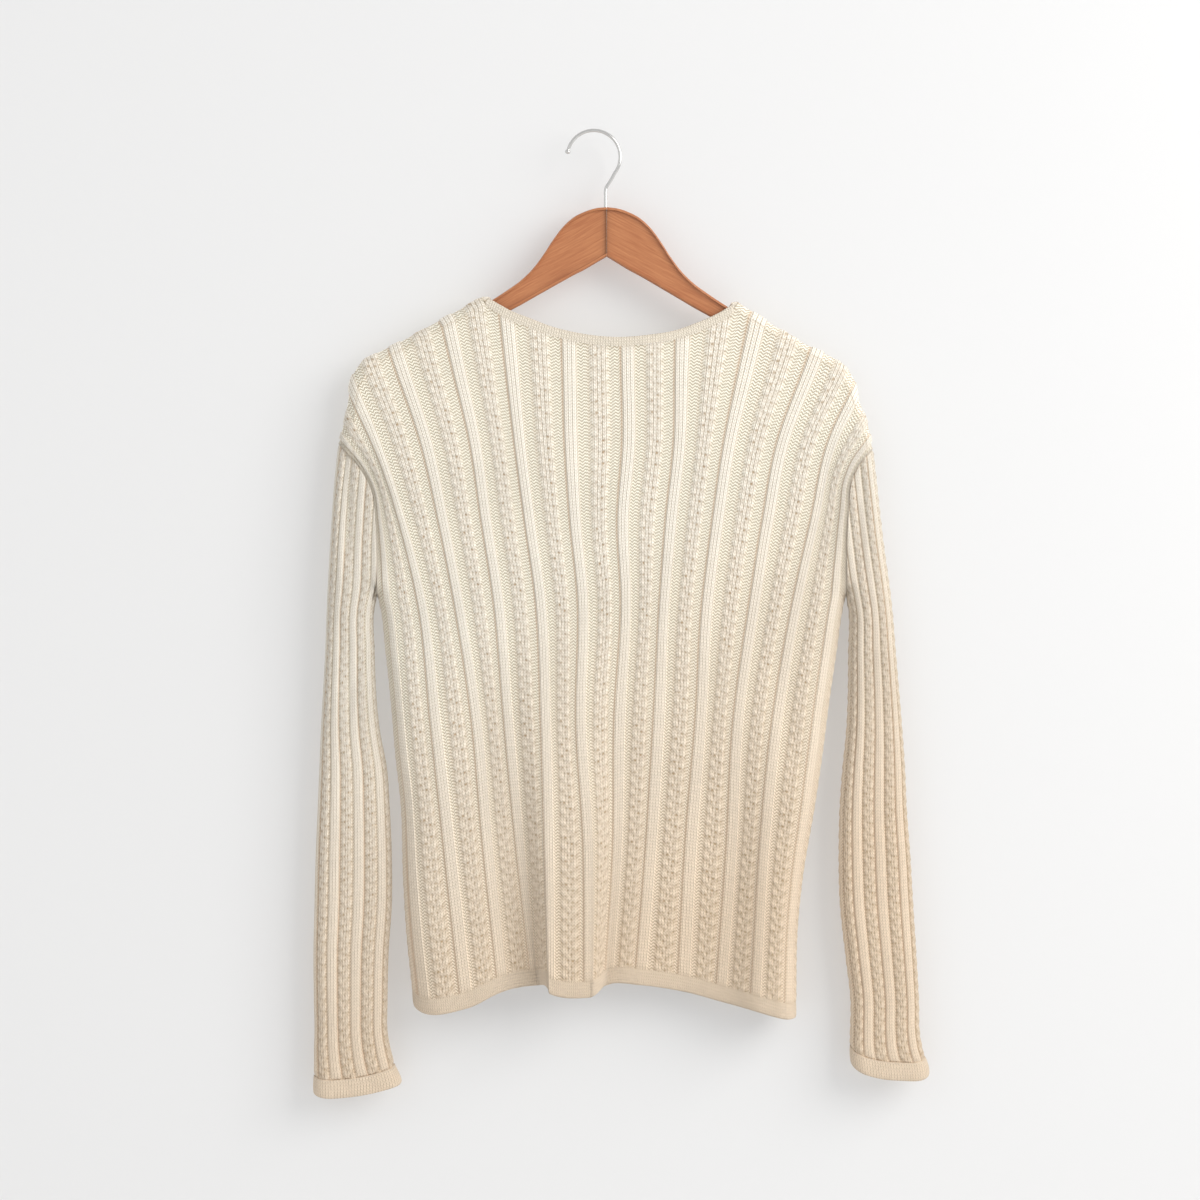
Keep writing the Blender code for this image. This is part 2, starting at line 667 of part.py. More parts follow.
def make_front(side_name, right, material, band_material):
    """One front and its hem band.

    The front wraps over the shoulder to the seam behind it, and its neck is scooped. Its ribs
    lean a little from the back's, to meet the neck's corner and the straight centre edge.
    """
    outer = smooth_line(RIGHT_SHOULDER if right else LEFT_SHOULDER)[:, :2]
    edge_x = CENTRE_FRONT + (1 if right else -1) * (FRONT_BAND / 2 + SEAM_GAP)
    edge_place = CENTRE_COLUMNS[1 if right else 0]
    neck_place = NECK_COLUMNS[1 if right else 0]
    first, last = (edge_place, RIGHT_SEAM) if right else (LEFT_SEAM, edge_place)
    by_corner = [neck_place + (-1 if right else 1) * step for step in CORNER_STEPS]
    places, raised, marks = body_columns(first, last, by_corner)
    over = (places >= neck_place - 1e-6) if right else (places <= neck_place + 1e-6)
    corner = np.argmin(np.abs(places - neck_place))
    by_edge = np.clip(1 - np.abs(places - edge_place) / EDGE_REACH, 0, 1)

    edge_columns = np.full(len(places), edge_place)

    def to_edge(z):
        return body_x(places, z) + by_edge * (edge_x - body_x(edge_columns, z))

    lean = outer[-1, 0] - to_edge(np.full(len(places), outer[-1, 1]))[corner]

    def x_at(z):
        return to_edge(z) + lean * neck_fade(places, z, neck_place)

    neck = scoop(np.linspace(0, 1, 31)[::-1] if right else np.linspace(-1, 0, 31), *NECK_SEAM)[1:]
    low, high = np.full(len(places), WAIST), np.full(len(places), -100.0)
    top = find_height(x_at, np.vstack([outer, neck, neck[-1] + [(-80 if right else 80), 0]]), low, high)
    top[corner] = outer[-1, 1]
    heights = body_rows(places, hem_height(places, marks, FRONT) + HEM_BAND, top, UPPER_ROWS)
    x = np.stack([x_at(heights[:, row]) for row in range(heights.shape[1])], 1)
    rim = heights.shape[1] - 1
    crest = np.stack([x[:, rim], top], -1)
    seam_height = back_top(places, back_top_line())
    seam = np.stack([back_x(places, seam_height), seam_height], -1)
    halfway = crest + (seam - crest) * WRAP_STEP
    x = np.hstack([x, halfway[:, :1], seam[:, :1]])
    heights = np.hstack([heights, halfway[:, 1:], seam[:, 1:]])
    on_edge = side_seams(places, heights)
    on_edge[:, rim] = over
    side_of = np.full(heights.shape, FRONT)
    side_of[:, rim + 1:] = BACK
    gap = np.where(np.arange(heights.shape[1]) == rim, 0.0, SEAM_GAP / 2) * np.ones(heights.shape)
    cells = np.ones((len(marks) - 1, heights.shape[1] - 1), bool)
    cells[[not (over[a] and over[b]) for a, b in zip(marks, marks[1:])], rim:] = False
    panel_wall(side_name + "_front", places, raised, marks, heights, FRONT, FRONT_FOLDS, material, cells, x,
               side_of, on_edge, gap)
    make_hem_band(side_name + "_front_hem_band", places, marks, x_at, FRONT, FRONT_FOLDS, band_material)
    return crest[~over]


def make_front_bands(material):
    """Under and over bands down the centre front, lapped on each other."""
    top = FRONT_NECK_LOW
    bottom = float(read_table(6.6, column(HEM, 0), column(HEM, 2)))
    for name, lift, reach in (("over_front_band", BAND_LAP / 2, 0.0),
                              ("under_front_band", -BAND_LAP / 2, 1.5)):
        across = np.array([-FRONT_BAND / 2, 0, FRONT_BAND / 2 - reach]) + CENTRE_FRONT
        heights = np.broadcast_to(np.linspace(bottom, top, 15), (3, 15)).copy()
        x = np.broadcast_to(across[:, None], heights.shape)
        repeat = np.full(heights.shape, 6.5)
        depth = fold_depth(repeat, heights, FRONT_FOLDS)
        points, normals = surface(x, heights, FRONT, EDGES["body"], tube_size(heights, 1),
                                  (depth, np.zeros(depth.shape)))
        outer = points + normals * (lift - BAND_SINK)
        inner = outer - normals * (BAND_LAP - SEAM_GAP)
        thicken(name, outer, inner[[0, 2]], [0, 2], np.ones((1, 14), bool), material)


def make_neck_band(left_edge, back_edge, right_edge, material):
    """Narrow band round the neck, from the centre front up over a shoulder and back down.

    Each edge is the line of points where a panel ends, left to right, and the band's own
    points face them.
    """
    half = FRONT_BAND / 2 + SEAM_GAP
    runs, count = [], []
    for n, (edge, turn) in enumerate(((left_edge[::-1], 1), (back_edge, -1), (right_edge[::-1], 1))):
        run = np.hstack([beside(edge, turn * NECK_BAND), beside(edge, turn * NECK_GAP)])
        if n != 1:
            across = 2 * (edge[:, 0] - NECK_SEAM[0][0]) / (NECK_SEAM[1][0] - NECK_SEAM[0][0]) - 1
            run[:, :2] = scoop(across, *NECK_CORNERS, FRONT_NECK_LOW)
        if n == 0:
            run[:, [0, 2]] = np.minimum(run[:, [0, 2]], CENTRE_FRONT - half)
        if n == 2:
            run[:, [0, 2]] = np.maximum(run[:, [0, 2]], CENTRE_FRONT + half)
        runs.append(run)
        count.append(len(run))
        if n < 2:
            shoulder, inset = ((LEFT_SHOULDER, CREST_GAPS[0]), (RIGHT_SHOULDER, -CREST_GAPS[1]))[n]
            runs.append([list(NECK_CORNERS[n]) + [shoulder[-1][0] + inset, shoulder[-1][1]]])
            count.append(1)
    path = np.vstack(runs)
    sides = np.repeat([FRONT, FRONT, BACK, FRONT, FRONT], count)
    edge = np.repeat([False, True, False, True, False], count)
    opening, outer = path[:, :2], path[:, 2:]
    x = np.stack([opening[:, 0], outer[:, 0]], 1)
    z = np.stack([opening[:, 1], outer[:, 1]], 1)
    side_of = sides[:, None] * np.ones(2)
    on_edge = edge[:, None] & np.ones(2, bool)
    points, normals = surface(x, z, side_of, EDGES["body"][::2], tube_size(z, 1), None, on_edge)
    marks = list(range(len(opening)))
    cells = np.ones((len(marks) - 1, 1), bool)
    outer = points - normals * BAND_SINK
    thicken("neckband", outer, outer - normals * NECK_WALL, marks, cells, material)


def sleeve_x(share, z, right):
    """x of a place round a sleeve: share runs from the underarm edge to the outer edge."""
    outer = read_table(z, column(SLEEVE_SIDES, 0), column(SLEEVE_SIDES, 3 if right else 1))
    inner = read_table(z, column(SLEEVE_SIDES, 0), column(SLEEVE_SIDES, 4 if right else 2))
    width = np.abs(outer - inner)
    rounding = tube_size(z, 3)[1]
    half = width / 2
    nearer = np.minimum(share, 1 - share) * 2
    edge_in = round_in(nearer, half, rounding)
    from_inner = np.where(share <= 0.5, edge_in, width - edge_in)
    return inner + np.sign(outer - inner) * from_inner


def armhole_line(right, side):
    """Armhole seam from the armpit to the notch, straight between the rows of the body's edge."""
    table = RIGHT_ARMHOLE if right else LEFT_ARMHOLE
    notch = np.array(table[-1], float)
    seam = np.array((RIGHT_SHOULDER if right else LEFT_SHOULDER)[0][2:], float)
    top, shares = (notch[1], UPPER_ROWS) if side == FRONT else (seam[1], UPPER_ROWS[:-2] + UPPER_ROWS[-1:])
    heights = WAIST + np.array(shares) * (top - WAIST)
    heights = np.append(ARMPIT, heights[heights > ARMPIT + 20])
    line = np.stack([read_table(heights, column(table, 1), column(table, 0)), heights], -1)
    if side == BACK:
        line = np.vstack([line, notch + (seam - notch) * WRAP_STEP, notch])
    return line


def sleeve_ring(ridges):
    """Shares round a sleeve: down its back from underarm to outer edge, then up its front."""
    half, raised = [], []
    for n in range(ridges):
        half += [n / ridges, (n + SLEEVE_RIDGE_TOP[0]) / ridges, (n + SLEEVE_RIDGE_TOP[1]) / ridges]
        raised += [0.0, 1.0, 1.0]
    share = np.array(half + [1 - s for s in half])
    side = np.array([BACK] * len(half) + [FRONT] * len(half))
    return share, side, np.array(raised + raised), list(range(0, 2 * len(half) + 1, 3))


def sleeve_wall(name, heights, ring, right, material, sink=0.0, wall=WALL, plain=False):
    """Tube of cloth from the heights of its columns."""
    share, side, raised, marks = ring
    x = sleeve_x(share[:, None] + 0 * heights, heights, right)
    edge = (np.isclose(share, 0) | np.isclose(share, 1))[:, None] & np.ones(heights.shape, bool)
    points, normals = surface(x, heights, side[:, None] + 0 * heights, EDGES["right" if right else "left"],
                              tube_size(heights, 3), None, edge)
    lift = sink if plain else sink + (RISE - sink) * (1 - raised[:, None, None])
    outer = points - normals * lift
    inner = (points - normals * (RISE + wall))[marks[:-1]]
    cells = np.ones((len(marks) - 1, heights.shape[1] - 1), bool)
    thicken(name, outer, inner, marks, cells, material, closed=True)


def make_sleeve(side_name, right, material, band_material):
    """Sleeve of one side, above and below the elbow, and its cuff band."""
    ring = sleeve_ring(SLEEVE_RIDGES)
    share, side = ring[:2]
    lines = [armhole_line(right, which) for which in (BACK, FRONT)]
    low, high = np.full(len(share), ARMPIT - 1.0), np.full(len(share), lines[0][-1, 1])
    for _ in range(45):
        middle = (low + high) / 2
        reach = np.where(side == BACK, *[np.interp(middle, line[:, 1], line[:, 0]) for line in lines])
        here = sleeve_x(share, middle, right)
        inside = here > reach if right else here < reach
        low, high = np.where(inside, middle, low), np.where(inside, high, middle)
    top = np.maximum(low, ARMPIT - ARMHOLE_GAP) - NOTCH_GAP * share
    cuff = read_table(share, column(CUFFS, 0), column(CUFFS, 2 if right else 1))
    elbow = np.full(len(share), ELBOW)
    heights = elbow[:, None] + SEAM_GAP / 2 + np.array(UPPER_ARM_ROWS) * (top - elbow - SEAM_GAP / 2)[:, None]
    sleeve_wall(side_name + "_sleeve", heights, ring, right, material)
    heights = level_rows(cuff + CUFF_BAND, elbow - SEAM_GAP / 2, FOREARM_ROWS)
    sleeve_wall(side_name + "_sleeve_forearm", heights, ring, right, material)
    heights = level_rows(cuff, cuff + CUFF_BAND - SEAM_GAP, 2)
    sleeve_wall(side_name + "_cuff_band", heights, ring, right, band_material, BAND_SINK,
                WALL - BAND_SINK, True)


def make_buttons(material):
    """Plain round buttons down the over band."""
    for n, height in enumerate(BUTTON_HEIGHTS):
        z = np.array([[float(height)]])
        x = np.array([[CENTRE_FRONT]])
        depth = fold_depth(np.array([[6.5]]), z, FRONT_FOLDS)
        points, _ = surface(x, z, FRONT, EDGES["body"], tube_size(z, 1), (depth, depth * 0))
        y = points[0, 0, 1] + BAND_LAP / 2 - BAND_SINK + SEAM_GAP + 0.35 + BUTTON_DEPTH / 2
        bpy.ops.mesh.primitive_cylinder_add(vertices=14, radius=BUTTON_RADIUS * MM, depth=BUTTON_DEPTH * MM,
                                            location=(CENTRE_FRONT * MM, y * MM, height * MM),
                                            rotation=(math.radians(90), 0, 0))
        button = bpy.context.object
        button.name = "button_%d" % (n + 1)
        button.data.materials.append(material)
        bevel = button.modifiers.new("Rounded rim", "BEVEL")
        bevel.width = 0.9 * MM
        bevel.segments = 1
        bevel.limit_method = "ANGLE"
        move_to_collection(button)


def move_to_collection(obj):
    """Leave the object in the cardigan's collection alone."""
    for other in list(obj.users_collection):
        other.objects.unlink(obj)
    collection.objects.link(obj)


def make_hanger_half(name, right, material):
    """One half of the wooden arm: its outline, thickened and rounded along its edges."""
    sign = 1 if right else -1
    top = smooth_line([(r, t) for r, t, _ in HANGER_ARM], 2)
    low = smooth_line([(r, b) for r, _, b in HANGER_ARM], 1)
    outline = np.vstack([top, HANGER_TIP, low[::-1]])
    outline[:, 0] = np.maximum(outline[:, 0], SEAM_GAP / 2)
    outline[:, 1] -= sign * HANGER_TILT * outline[:, 0]
    mesh = bmesh.new()
    front = -HANGER_THICK / 2
    ring = [mesh.verts.new(((HANGER_MIDDLE + sign * r) * MM, front * MM, z * MM)) for r, z in outline]
    mesh.faces.new(ring if right else ring[::-1])
    raised = bmesh.ops.extrude_face_region(mesh, geom=mesh.faces[:])
    verts = [item for item in raised["geom"] if isinstance(item, bmesh.types.BMVert)]
    bmesh.ops.translate(mesh, verts=verts, vec=(0, HANGER_THICK * MM, 0))
    bmesh.ops.recalc_face_normals(mesh, faces=mesh.faces)
    rims = []
    for edge in mesh.edges:
        a, b = (vert.co for vert in edge.verts)
        at_joint = abs(a.x - HANGER_MIDDLE * MM) + abs(b.x - HANGER_MIDDLE * MM) <= 0.001
        if abs(a.y - b.y) < 1e-6 and not at_joint:
            rims.append(edge)
    bmesh.ops.bevel(mesh, geom=rims, offset=HANGER_EDGE * MM, segments=2, profile=0.5, affect="EDGES")
    return finish(name, mesh, material, 50)


def make_hook(material):
    """Wire hook: a ball at its tip, round over the peg and straight down into the hanger."""
    cx, cz = HOOK_CENTRE
    swell = [(HOOK_START + math.degrees(along / HOOK_RADIUS), size) for along, size in HOOK_TIP]
    angles = np.radians([angle for angle, _ in swell] + list(np.linspace(HOOK_START, HOOK_END, 20)))
    arc = np.stack([cx + HOOK_RADIUS * np.cos(angles), cz + HOOK_RADIUS * np.sin(angles)], -1)
    bend = smooth_line([arc[-2], arc[-1], (12.0, -46.0), (STEM_X, -54.0), (STEM_X, -60.0)], 3)[4:]
    route = np.vstack([arc, bend, [(STEM_X, HANGER_ARM[0][1] + SEAM_GAP)]])
    sizes = [size for _, size in swell] + [1.0] * (len(route) - len(swell))
    curve = bpy.data.curves.new("hook", "CURVE")
    curve.dimensions = "3D"
    curve.bevel_depth = WIRE / 2 * MM
    curve.bevel_resolution = 2
    curve.use_fill_caps = True
    spline = curve.splines.new("POLY")
    spline.points.add(len(route) - 1)
    for point, (x, z), size in zip(spline.points, route, sizes):
        point.co = (x * MM, 0, z * MM, 1)
        point.radius = size
    hook = bpy.data.objects.new("hook", curve)
    collection.objects.link(hook)
    curve.materials.append(material)


for old in list(bpy.data.objects):
    bpy.data.objects.remove(old)
collection = bpy.data.collections.new("ribbed_cardigan_on_hanger")
bpy.context.scene.collection.children.link(collection)

knit = make_material("cream_knit", (0.80, 0.71, 0.57), 0.95)
band_knit = make_material("cream_band_knit", (0.78, 0.69, 0.56), 0.95)
wood = make_material("brown_wood", (0.47, 0.20, 0.09), 0.45)
chrome = make_material("chrome_wire", (0.75, 0.75, 0.76), 0.12, 1.0)
shell = make_material("cream_button", (0.82, 0.77, 0.66), 0.35)

back_neck = make_back(knit, band_knit)
left_neck = make_front("left", False, knit, band_knit)
right_neck = make_front("right", True, knit, band_knit)
make_neck_band(left_neck, back_neck, right_neck, band_knit)
make_front_bands(band_knit)
make_sleeve("left", False, knit, band_knit)
make_sleeve("right", True, knit, band_knit)
make_buttons(shell)
make_hanger_half("hanger_left", False, wood)
make_hanger_half("hanger_right", True, wood)
make_hook(chrome)
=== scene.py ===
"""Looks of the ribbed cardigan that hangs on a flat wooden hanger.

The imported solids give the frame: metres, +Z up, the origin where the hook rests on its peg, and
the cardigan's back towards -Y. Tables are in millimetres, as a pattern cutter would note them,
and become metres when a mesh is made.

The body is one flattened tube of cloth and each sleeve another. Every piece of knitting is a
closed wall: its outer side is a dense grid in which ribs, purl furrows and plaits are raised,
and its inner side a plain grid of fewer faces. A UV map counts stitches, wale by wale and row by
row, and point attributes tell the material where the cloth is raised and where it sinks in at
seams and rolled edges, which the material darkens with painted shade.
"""
from __future__ import annotations

import json
import logging
import math
from collections.abc import Callable
from dataclasses import dataclass, field
from enum import Enum

import bpy
import numpy as np
from bpy.types import ID, Material, Mesh, Node, NodeSocket, NodeTree, Object
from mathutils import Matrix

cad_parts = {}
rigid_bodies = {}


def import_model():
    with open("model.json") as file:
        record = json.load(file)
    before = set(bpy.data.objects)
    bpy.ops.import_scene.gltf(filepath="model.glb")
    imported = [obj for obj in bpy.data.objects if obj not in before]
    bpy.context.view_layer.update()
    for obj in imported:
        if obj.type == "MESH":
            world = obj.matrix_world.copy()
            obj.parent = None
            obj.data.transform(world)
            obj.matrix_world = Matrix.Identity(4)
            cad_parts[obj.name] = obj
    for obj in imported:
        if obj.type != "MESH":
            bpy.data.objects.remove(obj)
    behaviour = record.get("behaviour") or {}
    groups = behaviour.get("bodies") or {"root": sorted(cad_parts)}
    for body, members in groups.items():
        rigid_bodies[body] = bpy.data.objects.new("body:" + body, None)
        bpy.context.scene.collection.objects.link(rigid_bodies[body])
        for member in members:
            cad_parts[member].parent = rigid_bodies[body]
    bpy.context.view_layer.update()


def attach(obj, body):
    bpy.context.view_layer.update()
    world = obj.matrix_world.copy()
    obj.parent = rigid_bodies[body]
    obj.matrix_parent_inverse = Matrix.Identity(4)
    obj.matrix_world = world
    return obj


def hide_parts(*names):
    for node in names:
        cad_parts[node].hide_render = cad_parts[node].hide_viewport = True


LOG = logging.getLogger("cardigan")
Array = np.ndarray
Table = tuple[tuple[float, ...], ...]
Colour = tuple[float, float, float]
Point = tuple[float, float, float]
Reading = Callable[[Array], Array]
MM = 0.001
PI = math.pi


class Side(Enum):
    """Which side of the flattened garment a point lies on."""

    BACK = -1
    FRONT = 1


class Hand(Enum):
    """Left or right, as seen by someone who looks at the back of the garment."""

    LEFT = 0
    RIGHT = 1

    @property
    def word(self) -> str:
        """Name used for the pieces of this hand."""
        return self.name.lower()


# ---------------------------------------------------------------- curves and tables


def smooth_line(rows: Table, steps: int = 8) -> Array:
    """Points of a smooth curve through the rows.

    Each span is the cubic whose slope at a row is half the step between its two neighbours.

    Args:
        rows: points that the curve passes through.
        steps: points for each span.

    Returns:
        Array of points, the last row included.
    """
    knots = np.asarray(rows, float)
    padded = np.vstack([2 * knots[0] - knots[1], knots, 2 * knots[-1] - knots[-2]])
    a, b, c, d = (padded[n:len(padded) - 3 + n, None] for n in range(4))
    t = np.linspace(0, 1, steps, endpoint=False)[None, :, None]
    spans = (b + 0.5 * t * (c - a) + t ** 2 * (a - 2.5 * b + 2 * c - 0.5 * d)
             + t ** 3 * (1.5 * (b - c) + 0.5 * (d - a)))
    return np.vstack([spans.reshape(-1, knots.shape[1]), knots[-1:]])


def read_table(at: Array | float, keys: Array | tuple[float, ...], values: Array | tuple[float, ...]) -> Array:
    """Smooth reading of a table's column at any key, straight beyond its ends.

    Between two keys it is the cubic with the neighbours' weighted mean slope at each key.

    Args:
        at: keys to read at.
        keys: the table's keys, rising or falling.
        values: the value at each key.

    Returns:
        Value at each key asked for.
    """
    keys, values = np.asarray(keys, float), np.asarray(values, float)
    if keys[0] > keys[-1]:
        keys, values = keys[::-1], values[::-1]
    steps = np.diff(keys)
    rates = np.diff(values) / steps
    slopes = np.concatenate([rates[:1], (rates[1:] * steps[:-1] + rates[:-1] * steps[1:])
                             / (steps[1:] + steps[:-1]), rates[-1:]])
    at = np.asarray(at, float)
    n = np.clip(np.searchsorted(keys, at) - 1, 0, len(steps) - 1)
    t = np.clip((at - keys[n]) / steps[n], 0, 1)
    inside = ((2 * t ** 3 - 3 * t ** 2 + 1) * values[n] + (t ** 3 - 2 * t ** 2 + t) * steps[n] * slopes[n]
              + (3 * t ** 2 - 2 * t ** 3) * values[n + 1] + (t ** 3 - t ** 2) * steps[n] * slopes[n + 1])
    below, above = np.minimum(at - keys[0], 0), np.maximum(at - keys[-1], 0)
    return inside + below * slopes[0] + above * slopes[-1]


def look_up(at: Array | float, table: Table, n: int, key: int = 0) -> Array:
    """Column n of a table, read at keys of another column."""
    rows = np.asarray(table, float)
    return read_table(at, rows[:, key], rows[:, n])


def halve(holds: Reading, low: Array, high: Array, rounds: int = 45) -> Array:
    """Highest values at which a test holds, by halving the span between two values.

    Args:
        holds: the test, true at the low values and false at the high ones.
        low: values to start from.
        high: values to end at.
        rounds: number of halvings.

    Returns:
        Value for each pair.
    """
    for _ in range(rounds):
        middle = (low + high) / 2
        inside = holds(middle)
        low, high = np.where(inside, middle, low), np.where(inside, high, middle)
    return low


def every(step: int, count: int) -> list[int]:
    """Each step-th number below a count, and the last."""
    return sorted({*range(0, count - 1, step), count - 1})


def ease(t: Array | float) -> Array:
    """Soft step from 0 to 1: 3t^2 - 2t^3 between them."""
    t = np.clip(t, 0, 1)
    return t * t * (3 - 2 * t)


def bell(distance: Array, width: float) -> Array:
    """Bell curve, 1 on the line and about a third at one width from it."""
    return np.exp(-(distance / width) ** 2)


def beside(line: Array, distance: float) -> Array:
    """Line moved sideways by a distance, to the right as it runs."""
    runs = np.gradient(line, axis=0)
    runs /= np.linalg.norm(runs, axis=1, keepdims=True)
    return line + distance * np.stack([runs[:, 1], -runs[:, 0]], -1)


def spread(line: Array, count: int) -> Array:
    """Line with a number of points evenly spaced along its length."""
    far = np.append(0, np.cumsum(np.linalg.norm(np.diff(line, axis=0), axis=1)))
    at = np.linspace(0, far[-1], count)
    return np.stack([np.interp(at, far, line[:, n]) for n in range(line.shape[1])], -1)


def nearest(x: Array, z: Array, lines: list[Array], on_line: float = 0.3,
            reach_out: float = 1.5) -> tuple[Array, Array]:
    """Distance in from the nearest line and the direction away from it.

    The cloth lies to the left of each line as it runs, and a point just outside counts as being
    on the line. Points are taken a few thousand at a time to spare memory.

    Args:
        x: places across.
        z: heights.
        lines: the folded edges, each an array of points.
        on_line: distance below which a point counts as lying on a line.
        reach_out: how far outside a point may lie and still count so.

    Returns:
        Distance for each point, and a unit vector.
    """
    points = np.stack([x.ravel(), z.ravel()], -1)
    starts = np.vstack([line[:-1] for line in lines])
    runs = np.vstack([np.diff(line, axis=0) for line in lines])
    square = np.stack([-runs[:, 1], runs[:, 0]], -1) / np.linalg.norm(runs, axis=1, keepdims=True)
    long2 = (runs ** 2).sum(-1)
    distances, directions = [], []
    for part in np.array_split(points, max(1, len(points) // 5000)):
        away = part[:, None] - starts
        t = np.clip((away * runs).sum(-1) / long2, 0, 1)
        away -= t[..., None] * runs
        best = (away ** 2).sum(-1).argmin(1)
        rows = np.arange(len(part))
        away, side = away[rows, best], square[best]
        distance = np.hypot(away[:, 0], away[:, 1])
        direction = np.where(distance[:, None] < on_line, side, away / np.maximum(distance, 1e-6)[:, None])
        outside = (distance < reach_out) & ((away * side).sum(-1) < 0)
        distances.append(np.where(outside, 0, distance))
        directions.append(np.where(outside[:, None], side, direction))
    return np.concatenate(distances).reshape(x.shape), np.concatenate(directions).reshape(x.shape + (2,))


# ---------------------------------------------------------------- the garment's form


@dataclass(frozen=True)
class Cut:
    """Outlines of the hanging garment, read off its back, in millimetres."""

    # from the sleeve's notch up to the neck: outer x and z, seam x and z
    shoulders: tuple[Table, Table] = (
        ((-240, -288, -226, -301), (-236, -271, -225, -284), (-232, -252, -224, -259), (-230, -234, -222, -241),
         (-227, -224, -218, -231), (-219, -212, -212, -222), (-208, -205, -204, -213), (-179, -191, -176, -198),
         (-146, -173, -142, -180), (-107, -151.5, -103, -159.5)),
        ((256, -293, 251, -297.5), (252, -271, 246, -274), (243, -246, 237, -249), (238, -226, 230, -232),
         (223, -210, 218, -217), (192, -194, 189, -201), (157, -173, 154, -180), (131, -156, 127, -163)))
    neck_crests: Table = ((-90, -151.8), (114, -158))
    # from the armpit up to the notch: x, z
    armholes: tuple[Table, Table] = (
        ((-203, -431), (-203, -396), (-204.5, -359), (-208, -330), (-216, -314), (-226, -301), (-240, -288)),
        ((230, -431), (230.3, -396), (232, -350), (236, -319), (245, -304), (251, -297.5), (256, -293)))
    armpit: float = -431.0
    # height, left x, right x
    body_sides: Table = (
        (-431, -203, 230), (-438, -201.3, 228.5), (-482, -196, 222), (-530, -191, 215), (-577, -187, 209),
        (-624, -182, 202), (-689, -180, 191), (-740, -177, 186), (-802, -171, 185), (-850, -169, 185))
    # height, left outer, left inner, right outer, right inner
    sleeve_sides: Table = (
        (-288, -240, -193, 255.5, 212.5), (-330, -244, -197, 260, 217), (-375, -247, -200, 265, 222),
        (-431, -250, -203, 272.5, 230), (-438, -250.3, -204.7, 273.3, 231.5), (-482, -252, -205, 277, 232),
        (-554, -256, -200, 283, 230), (-589, -257.5, -193.5, 285.5, 226.5), (-624, -259, -191, 287, 224),
        (-671, -261, -189, 290.5, 223), (-713, -262, -189, 293, 224), (-760, -263, -192, 296, 229),
        (-807, -262.5, -193, 298.5, 234), (-831, -262, -193, 299, 233.5), (-848, -262.5, -190, 302, 233),
        (-862, -262.5, -186, 307, 234), (-876, -263, -180, 309, 235), (-900, -263, -178, 309, 236))
    # height, body half depth, body edge rounding, sleeve half depth, its rounding
    tubes: Table = (
        (-140, 11, 11, 11, 11), (-215, 11.5, 11.5, 11.5, 11.5), (-290, 13, 12, 13, 12), (-360, 15, 14, 15, 14),
        (-432, 17, 16, 17, 16), (-482, 18, 18, 15, 16), (-560, 19, 21, 13, 16), (-700, 18.5, 22, 12, 16),
        (-830, 16, 20, 11.5, 14), (-900, 16, 20, 11.5, 13))
    # x of ribs 2 to 11 at each height
    rib_heights: tuple[float, ...] = (-221, -285, -359, -433, -544, -655, -776)
    rib_places: Table = (
        (-234, -206, -181, -162, -149, -136, -122), (-179, -158, -142, -128, -110, -100, -87),
        (-126, -112, -102, -91, -82, -71, -57), (-77, -71, -62, -52, -47, -45, -44),
        (-25, -24, -20, -13, -15, -7, -6), (29, 30, 24, 27, 21, 19, 11), (80, 78, 69, 62, 57, 50, 40),
        (141, 125, 112, 102, 96, 87, 81), (198, 173, 158, 146, 130, 125, 116),
        (251, 219, 202, 185, 166, 154, 147))
    # repeat across, back z, front z
    hem: Table = (
        (0.45, -807, -807), (1, -814, -806), (2, -808, -798), (3, -793, -789), (4, -788, -785), (4.7, -788, -784.5),
        (5.1, -795, -784.5), (6, -797, -784.5), (6.4, -795, -784.5), (7, -787, -784), (8, -788, -785), (9, -794, -790),
        (10, -803, -799), (11, -811, -808), (12, -819, -815), (12.55, -819, -819))
    # share from the underarm edge to the outer edge, left z, right z
    cuffs: Table = ((0, -878, -861), (0.2, -884, -870), (0.4, -889, -875), (0.6, -892, -876.5),
                    (0.8, -893, -876.5), (1, -889, -871))
    back_neck: Table = ((-99, -153.5), (-81, -165), (-61, -173), (-38, -181.5), (-7, -188), (22, -190), (51, -187.5),
                        (75, -183), (107, -170.5), (124, -159.5))
    neck_corners: Table = ((-99, -151.65), (124, -156.8))
    front_neck_low: float = -248.0
    scoop: float = 2.2
    centre_front: float = 9.0
    seams: tuple[float, float] = (0.45, 12.55)    # side seams, in repeats


@dataclass(frozen=True)
class Fold:
    """Hanging fold that stands away from the tube, in repeats across."""

    rise: float
    crest: float
    fall: float
    foot: float
    height: float
    top: float


@dataclass(frozen=True)
class Crease:
    """Soft trough, or ridge where its depth is below nought, from one point to another."""

    x0: float
    z0: float
    x1: float
    z1: float
    width: float
    depth: float


CENTRE_REPEAT = 6.5      # of the front bands and buttons
BACK_FOLDS = (Fold(0.5, 1.5, 2.3, 3.9, 11, -420), Fold(4.05, 4.95, 6.05, 7.0, 25, -430),
              Fold(10.1, 11.2, 11.9, 12.5, 11, -480), Fold(7.3, 8.2, 9.3, 10.3, -4, -400))
FRONT_FOLDS = (Fold(1.0, 2.0, 2.4, 3.6, 6, -450), Fold(4.0, 4.8, 5.2, 6.0, 4, -560),
               Fold(7.4, 8.4, 8.8, 10.0, 7, -480), Fold(10.4, 11.2, 11.5, 12.3, 4, -560))


